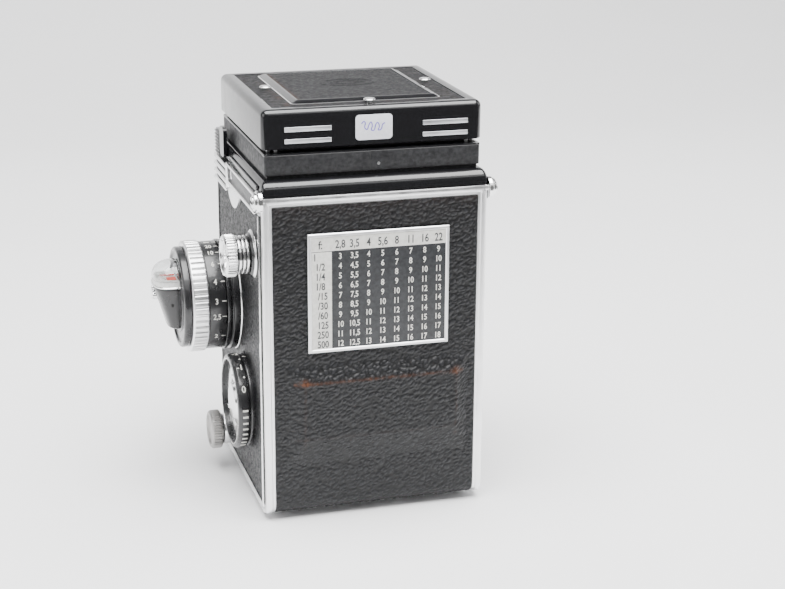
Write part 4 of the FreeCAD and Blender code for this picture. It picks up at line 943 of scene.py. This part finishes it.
# ---- focusing knob
def make_focus():
    lathe("knob_base", "X", FOCUS, [(WALL, 0.5), (WALL, 20.5), (43.3, 20.5), (43.5, 19.9), (44.1, 19.9),
        (44.3, 20.5), (45.7, 20.5), (45.7, 0.5)], BLACK_METAL, FIXED, replaces=("focus_base_ring",),
        edge=0.3)
    lathe("knob_base_line", "X", FOCUS, [(40.15, 20.3), (40.15, 20.75), (40.6, 20.8), (40.9, 20.5),
        (40.9, 20.3)], CHROME, FIXED, ring=True, edge=0.08)
    lathe("scale_drum", "X", FOCUS, [(46.0, 0.5), (46.0, 20.0), (52.1, 20.0), (52.1, 0.5)], BLACK_METAL,
        "focus_knob", replaces=("focus_drum",), edge=0.25)
    grip = flutes(52, 0.5, 52.8, 57.6, 6.0, 18.0)
    lathe("fluted_grip", "X", FOCUS, [(52.1, 0.5), (52.1, 19.9), (52.5, 20.5), (52.9, 20.6), (55.2, 20.6),
        (57.5, 20.6), (57.9, 20.5), (58.25, 19.9), (58.25, 0.5)], SATIN, "focus_knob",
        replaces=("focus_grip_ring",), segments=832, shape=grip, edge=0.12, sharp=50)
    marks = [("20", 11.8), ("10", 23.7), ("6", 39.7), ("4", 60.0), ("3", 80.6), ("2,5", 97.3), ("2", 122.6),
        ("1,5", 165.8), ("1,2", 210.0), ("1", 256.0)]
    numbers = [(t, 2.1, 0.82, drum_map(49.6, FOCUS, 20.0, a)) for t, a in marks]
    numbers.append(("8", 2.1, 0.82, turned(drum_map(49.6, FOCUS, 20.0, 0.0))))
    digits("distance_digits", numbers, INK_WHITE, "focus_knob")
    ticks = [(-0.75, 0.75, -0.14, 0.14, drum_map(46.9, FOCUS, 20.0, a)) for _, a in marks]
    ticks += [(-0.75, 0.75, -0.14, 0.14, drum_map(46.9, FOCUS, 20.0, 0.0))]
    ticks += [(-1.3, 1.3, -0.16, 0.16, drum_map(44.0, FOCUS, 20.45, 0.0))]
    patches("distance_ticks", ticks[:-1], INK_WHITE, "focus_knob")
    patches("focus_index", ticks[-1:], INK_WHITE, FIXED)


def turned(mapper):
    """Lays an 8 on its side so that it reads as infinity."""
    return lambda u, v, w: mapper(-v, u, w)


def make_meter():
    y = FOCUS[0]
    face = 61.2
    lathe("knob_cap", "X", FOCUS, [(58.5, 0.5), (58.5, 18.7), (60.6, 18.7), (61.1, 18.2), (61.2, 17.4),
        (61.1, 16.9), (60.5, 16.6), (60.45, 13.2), (61.0, 12.8), (61.2, 12.4), (61.2, 0.5)], BLACK_METAL,
        FIXED, replaces=("meter_housing",), edge=0.25)
    deck, card = 75.0, 77.6

    def outline(half_y, reach, level):
        points = []
        steps = 40
        for k in range(steps + 1):
            a = -math.pi / 2 + math.pi * k / steps
            across = math.copysign(abs(math.sin(a)) ** 0.7, a)
            points.append((face - 0.3 + reach * abs(math.cos(a)) ** 0.55, y + half_y * across, level))
        return points

    stack = [(59.0, 6.6, 3.6), (59.4, 7.2, 4.3), (62.0, 7.6, 5.0), (66.0, 8.1, 6.2), (70.0, 8.5, 7.5),
        (73.6, 8.8, 8.7), (74.6, 8.9, 9.1), (75.0, 8.8, 9.0)]
    loft("meter_wedge", [outline(h, r, level) for level, h, r in stack], BLACK_METAL, FIXED, sharp=40)
    lathe("wedge_screw", "Y", (63.9, 68.6), [(y + 7.4, 0.5), (y + 8.6, 0.5)], MATTE, FIXED, segments=20,
        slot="black_anodised")
    loft("meter_bezel", [outline(8.9, 9.1, deck), outline(9.0, 9.2, deck + 0.15),
        outline(9.0, 9.2, deck + 0.45), outline(8.8, 9.0, deck + 0.6)], CHROME, FIXED)
    loft("meter_skirt", [outline(8.7, 8.85, deck + 0.6), outline(8.6, 8.75, card - 0.1),
        outline(8.5, 8.6, card)], WHITE_CARD, FIXED, slot="clear_window")
    steps = 16
    outer, inner = [], []
    for k in range(steps + 1):
        a = math.pi / 2 * k / steps * 0.97
        wide = math.cos(a) ** 0.8
        outer.append(outline(8.75 * wide, 8.9 * wide, card - 0.05 + 6.1 * math.sin(a)))
        inner.append(outline(8.15 * wide, 8.25 * wide, card - 0.05 + 5.5 * math.sin(a)))
    loft("meter_bubble", outer + inner[::-1], DOME_CLEAR, FIXED, closed=True, replaces=("meter_dome",),
        sharp=60)
    pivot_x, level = 62.8, card + 0.35
    base = [(pivot_x - 1.0, y - 0.5, level), (pivot_x + 4.4, y - 0.16, level),
        (pivot_x + 4.4, y + 0.16, level), (pivot_x - 1.0, y + 0.5, level)]
    tall = [(a, b, c + 0.35) for a, b, c in base]
    put("pointer", base + tall, [(0, 1, 2, 3), (4, 7, 6, 5), (0, 4, 5, 1), (1, 5, 6, 2), (2, 6, 7, 3),
        (3, 7, 4, 0)], RED, "needle", replaces=("meter_needle",))
    box_piece("meter_flag", (61.8, y + 2.0, card - 0.1), (65.2, y + 5.6, card + 0.25), 0.12, RED, FIXED, 2,
        slot="red_needle")
    tab = [(67.4, 2.4), (69.6, 2.6), (70.0, 2.4), (70.2, 1.8), (70.2, 0.3)]
    lathe("housing_tab", "X", (y - 2.0, 71.2), tab, CHROME, FIXED, segments=96,
        shape=flutes(16, 0.3, 68.0, 69.9, 1.5, 2.0))
    card_marks = [(-0.1, 0.1, 4.6, 6.4, card_map(a, y, card + 0.01)) for a in range(-60, 61, 15)]
    patches("meter_marks", card_marks, INK_BLACK, FIXED)


def card_map(angle_deg, y, level):
    a = math.radians(angle_deg)
    return lambda u, v, w: (61.4 + v * math.cos(a) - u * math.sin(a), y + v * math.sin(a) + u * math.cos(a),
        level + w)


# ---- correction dial and spool knobs
def make_dial():
    lathe("dial_foot", "X", DIAL, [(WALL, 0.5), (WALL, DIAL_R - 0.6), (41.6, DIAL_R - 0.6),
        (42.3, DIAL_R - 1.0), (42.3, 0.5)], BLACK_METAL, FIXED, replaces=("correction_dial_base",),
        edge=0.2)
    lathe("dial_face", "X", DIAL, [(42.3, 0.5), (42.3, DIAL_FACE - 0.1), (44.7, DIAL_FACE - 0.1),
        (45.0, DIAL_FACE - 0.4), (45.0, 9.4), (44.6, 9.1), (44.6, 7.2), (45.9, 6.4), (46.1, 5.6),
        (46.1, 0.5)], CHROME, FIXED, edge=0.2, slot="satin_chrome")
    for k in range(3):
        a = math.radians(90 + 120 * k)
        lathe("dial_pip_%d" % k, "X", (DIAL[0] + 12.0 * math.cos(a), DIAL[1] + 12.0 * math.sin(a)),
            [(44.9, 1.1), (45.5, 1.1)], CHROME, FIXED, segments=32)
    lathe("dial_ring", "X", DIAL, [(42.6, DIAL_FACE + 0.1), (42.6, DIAL_R - 0.2), (42.9, DIAL_R),
        (45.5, DIAL_R), (45.9, DIAL_R - 0.3), (46.3, DIAL_R - 0.5), (46.6, DIAL_R - 1.0),
        (46.7, DIAL_R - 1.8), (46.6, DIAL_FACE + 0.4), (46.2, DIAL_FACE + 0.1)], BLACK_METAL, "correction",
        ring=True, edge=0.18, replaces=("correction_dial",))
    lathe("dial_edge_line", "X", DIAL, [(46.3, DIAL_FACE + 0.35), (46.3, DIAL_FACE + 0.8),
        (46.72, DIAL_FACE + 0.7), (46.72, DIAL_FACE + 0.45)], CHROME, "correction", ring=True, edge=0.05)
    marks = [("-2", -4.0), ("-1", 27.0), ("0", 57.0)]
    digits("dial_digits", [(t, 2.5, 0.85, drum_map(44.2, DIAL, DIAL_R, a)) for t, a in marks], INK_WHITE,
        "correction")
    bars = [(-0.95, 0.95, -0.36, 0.36, drum_map(44.2, DIAL, DIAL_R, 83.0 + 8.0 * k)) for k in range(8)]
    bars += [(-0.3, 0.3, -0.3, 0.3, drum_map(43.4, DIAL, DIAL_R, a)) for a in (12.0, 42.0)]
    patches("dial_bars", bars, INK_WHITE, "correction")
    patches("dial_index", [(-0.8, 0.8, -0.15, 0.15, drum_map(41.0, DIAL, DIAL_R - 0.6, 2.0))], INK_WHITE,
        FIXED)


def knurled_knob(name, node, centre, radius, x0, x1, body, material):
    knurl = flutes(40, 0.4, x0 + 0.5, x1 - 0.7, 1.6, radius - 1.2)
    dish = radius - 1.5
    lathe(name, "X", centre, [(x0, 0.4), (x0, radius - 0.7), (x0 + 0.45, radius - 0.05), (x0 + 0.9, radius),
        (x0 + 2.2, radius), (x1 - 0.9, radius), (x1 - 0.5, radius - 0.2), (x1, radius - 0.7), (x1, dish),
        (x1 - 0.7, dish - 0.4), (x1 - 0.9, 2.2), (x1 - 0.7, 1.9), (x1 - 0.7, 0.4)], material, body,
        segments=640, edge=0.15, shape=knurl, replaces=(node,), sharp=50, slot="satin_chrome")
    lathe(name + "_stem", "X", centre, [(29.6, 2.42), (x0, 2.42)], STEEL, body, segments=40)


def make_spool_knobs():
    upper, lower = UPPER_SPOOL, LOWER_SPOOL
    lathe("upper_collar", "X", upper, [(WALL, 2.5), (WALL, 8.5), (40.6, 8.6), (41.3, 7.6), (42.0, 7.0),
        (42.2, 5.9), (46.2, 5.9), (46.3, 5.6), (46.3, 2.5)], BLACK_METAL, FIXED, ring=True, edge=0.16,
        replaces=("spool_collars",))
    lathe("upper_collar_foot", "X", upper, [(40.15, 7.6), (40.15, 8.55), (40.6, 8.7), (41.2, 7.8),
        (41.2, 7.4)], CHROME, FIXED, ring=True, edge=0.12)
    for k in range(3):
        start = 42.5 + 1.4 * k
        lathe("collar_ring_%d" % k, "X", upper, [(start, 5.7), (start, 6.7), (start + 0.15, 6.85),
            (start + 0.75, 6.85), (start + 0.9, 6.7), (start + 0.9, 5.7)], CHROME, FIXED, ring=True,
            edge=0.08)
    lathe("lower_collar", "X", lower, [(WALL, 2.5), (WALL, 7.3), (40.6, 7.4), (41.1, 6.6), (41.4, 5.9),
        (45.6, 5.8), (45.8, 5.5), (45.8, 2.5)], CHROME, FIXED, ring=True, edge=0.16)
    knurled_knob("upper_knob_head", "upper_spool_knob", upper, 7.5, 46.6, 50.8, "upper_knob", CHROME)
    knurled_knob("lower_knob_head", "lower_spool_knob", lower, 7.3, 46.3, 50.6, "lower_knob", WORN)


# ---- front of the camera
def make_lens(label, z, seat, node, glass):
    body = "lens_standard"
    lathe(label + "_tube", "Y", (0, z), [(-36.3, 10.7), (-36.3, 12.9), (seat, 12.95), (seat, 17.9),
        (seat - 1.3, 18.0), (seat - 1.6, 17.0), (-60.8, 17.0), (-61.0, 18.7), (-61.6, 18.8), (-64.4, 18.8),
        (-64.7, 17.7), (-65.7, 17.6), (-66.0, 17.2), (-66.0, 16.5), (-62.2, 14.6), (-57.0, 14.3),
        (-57.0, 10.7)], BLACK_METAL, body, ring=True, edge=0.2, replaces=(node,))
    lathe(label + "_rim", "Y", (0, z), [(-61.1, 18.4), (-61.1, 18.8), (-63.6, 18.8), (-63.6, 18.4)], CHROME,
        body, ring=True, edge=0.1, segments=96)
    for k in range(5):
        depth = -61.5 + 0.9 * k
        lathe(label + "_baffle_%d" % k, "Y", (0, z), [(depth, 14.0 + 0.1 * k), (depth, 15.2),
            (depth - 0.35, 15.2), (depth - 0.35, 14.0 + 0.1 * k)], MATTE, body, ring=True, segments=96,
            edge=0.05, slot="black_anodised")
    bow = [(-58.2, 0.3), (-58.2, 13.9), (-60.4, 13.9)]
    bow += [(-60.4 - 2.6 * math.sin(a), 13.9 * math.cos(a)) for a in [math.pi / 2 * k / 10 for k in range(1,
        10)]]
    lathe(label + "_front_element", "Y", (0, z), bow + [(-63.0, 0.3)], LENS_COAT, body, segments=96,
        edge=0.05, replaces=(glass,))
    lathe(label + "_rear_element", "Y", (0, z), [(-36.6, 0.3), (-36.8, 10.2), (-39.6, 10.2), (-39.8, 0.3)],
        LENS_COAT, body, segments=96, edge=0.1)


def make_front():
    make_lens("viewing", 95.0, -45.5, "viewing_barrel", "viewing_glass")
    make_lens("taking", 52.0, -49.5, "taking_barrel", "taking_glass")
    lathe("shutter_ring", "Y", (0, 52.0), [(-45.5, 12.9), (-45.5, 20.9), (-48.6, 20.9), (-49.4, 20.2),
        (-49.5, 12.9)], SATIN, "lens_standard", ring=True, replaces=("shutter_case",), edge=0.3)
    for x in (-26.0, 26.0):
        body = "aperture_setting" if x > 0 else "speed_setting"
        node = "aperture_wheel" if x > 0 else "speed_wheel"
        profile = [(-42.0, 0.4), (-42.0, 1.95), (-46.2, 1.95), (-46.2, 8.6), (-46.6, 9.0), (-48.0, 9.0),
            (-49.6, 9.0), (-50.0, 8.4), (-50.0, 7.0), (-49.5, 6.7), (-49.4, 2.0), (-49.7, 1.8),
            (-49.7, 0.4)]
        lathe(node + "_head", "Y", (x, 74.0), profile, SATIN, body, segments=480, edge=0.15,
            shape=flutes(40, 0.35, -49.7, -46.5, 1.5, 8.2), replaces=(node,), sharp=50)
        lathe(node + "_cap", "Y", (x, 74.0), [(-49.35, 6.4), (-49.6, 6.3), (-49.6, 2.1), (-49.35, 2.0)],
            BLACK_METAL, body, ring=True, segments=96, edge=0.1)
    make_meter_window()


def make_meter_window():
    """The ribbed window of the light meter over the viewing lens."""
    for k in range(15):
        x = -25.9 + 3.7 * k
        lathe("meter_rib_%02d" % k, "Z", (x, -40.7), [(116.2, 1.5), (122.2, 1.5)], GROUND, FIXED,
            segments=24, edge=0.3, slot="clear_window", replaces=("meter_cell",) if k == 0 else ())
    levels = [(0.0, -38.8), (0.0, -41.0), (0.3, -41.4), (1.0, -41.4), (1.4, -41.0), (1.4, -38.8)]
    upright_stack("meter_window_frame", (-28.4, 28.4, 114.8, 123.6, 1.2), levels, 6, CHROME, FIXED,
        closed=True)
    box_piece("meter_cell_back", (-27.2, -39.4, 115.9), (27.2, -38.85, 122.5), 0.1, MATTE, FIXED, 1,
        slot="black_anodised")


# ---- carried-over CAD nodes
def dress_cad():
    """Every CAD node that stays visible gets its slot's material and clean shading."""
    slot_of = {s["node"]: s["material_slot"] for s in frame["record"]["subparts"]}
    for name, obj in frame["nodes"].items():
        obj.data.materials.clear()
        obj.data.materials.append(SLOTS[slot_of[name]])
        obj.data.polygons.foreach_set("use_smooth", [True] * len(obj.data.polygons))
        obj.data.set_sharp_from_angle(angle=math.radians(28))


# ---- stage, light, camera
def make_stage():
    """A pale sweep: flat under the camera, rising far behind it."""
    floor = shader("stage_paper", (0.86, 0.86, 0.865), 0.7)
    vary(floor, "Base Color", 4, (0.85, 0.85, 0.855), (0.88, 0.88, 0.885))
    half, bend, radius = 2.6, -0.6, 0.9
    profile = [(0.30, 0.0), (0.0, 0.0), (bend, 0.0)]
    for k in range(1, 13):
        a = math.pi / 2 * k / 12
        profile.append((bend - radius * math.sin(a), radius * (1 - math.cos(a))))
    profile.append((-1.5, 3.0))
    verts = [(x, y, z) for y, z in profile for x in (-half, half)]
    faces = [(2 * k, 2 * k + 1, 2 * k + 3, 2 * k + 2) for k in range(len(profile) - 1)]
    mesh = bpy.data.meshes.new("stage_sweep")
    mesh.from_pydata(verts, [], faces)
    mesh.polygons.foreach_set("use_smooth", [True] * len(mesh.polygons))
    obj = bpy.data.objects.new("stage_sweep", mesh)
    obj.data.materials.append(floor)
    bpy.context.scene.collection.objects.link(obj)


def area(name, place, target, size, power):
    light = bpy.data.lights.new(name, "AREA")
    light.shape = "RECTANGLE"
    light.size, light.size_y = size
    light.energy = power
    obj = bpy.data.objects.new(name, light)
    obj.location = place
    obj.rotation_euler = (Vector(target) - Vector(place)).to_track_quat("-Z", "Y").to_euler()
    bpy.context.scene.collection.objects.link(obj)
    return obj


def make_light():
    world = bpy.data.worlds.new("studio")
    world.use_nodes = True
    world.node_tree.nodes["Background"].inputs["Color"].default_value = (1, 1, 1, 1)
    world.node_tree.nodes["Background"].inputs["Strength"].default_value = 0.2
    bpy.context.scene.world = world
    area("overhead", (0.0, 0.2, 1.15), (0, 0, 0.0), (1.3, 1.0), 62)
    area("rear_bank", (-0.3, 1.0, 0.95), (0, 0.04, 0.06), (0.9, 0.4), 2.5)
    area("left_bank", (1.3, 0.1, 0.6), (0, 0, 0.07), (1.0, 0.9), 7)
    area("right_bank", (-1.3, 0.0, 0.6), (0, 0, 0.07), (1.0, 0.9), 6)


def make_camera():
    """A camera behind the object and to its left, looking a little down."""
    right = Vector((-0.96009, 0.27964, 0.00563))
    up = Vector((-0.07844, -0.28850, 0.95426))
    back = Vector((0.26847, 0.91574, 0.29892))
    place = Vector((157.316, 594.947, 263.215)) * MM
    camera = bpy.data.cameras.new("view")
    camera.sensor_width = 36.0
    camera.lens = 79.86
    obj = bpy.data.objects.new("view", camera)
    obj.matrix_world = Matrix.Translation(place) @ Matrix((right, up, back)).transposed().to_4x4()
    bpy.context.scene.collection.objects.link(obj)
    bpy.context.scene.camera = obj


dress_cad()
make_back()
make_deck()
make_hood_base()
make_lid()
make_sides()
make_rails()
make_hinge_caps()
make_focus()
make_meter()
make_dial()
make_spool_knobs()
make_front()
make_stage()
make_light()
make_camera()
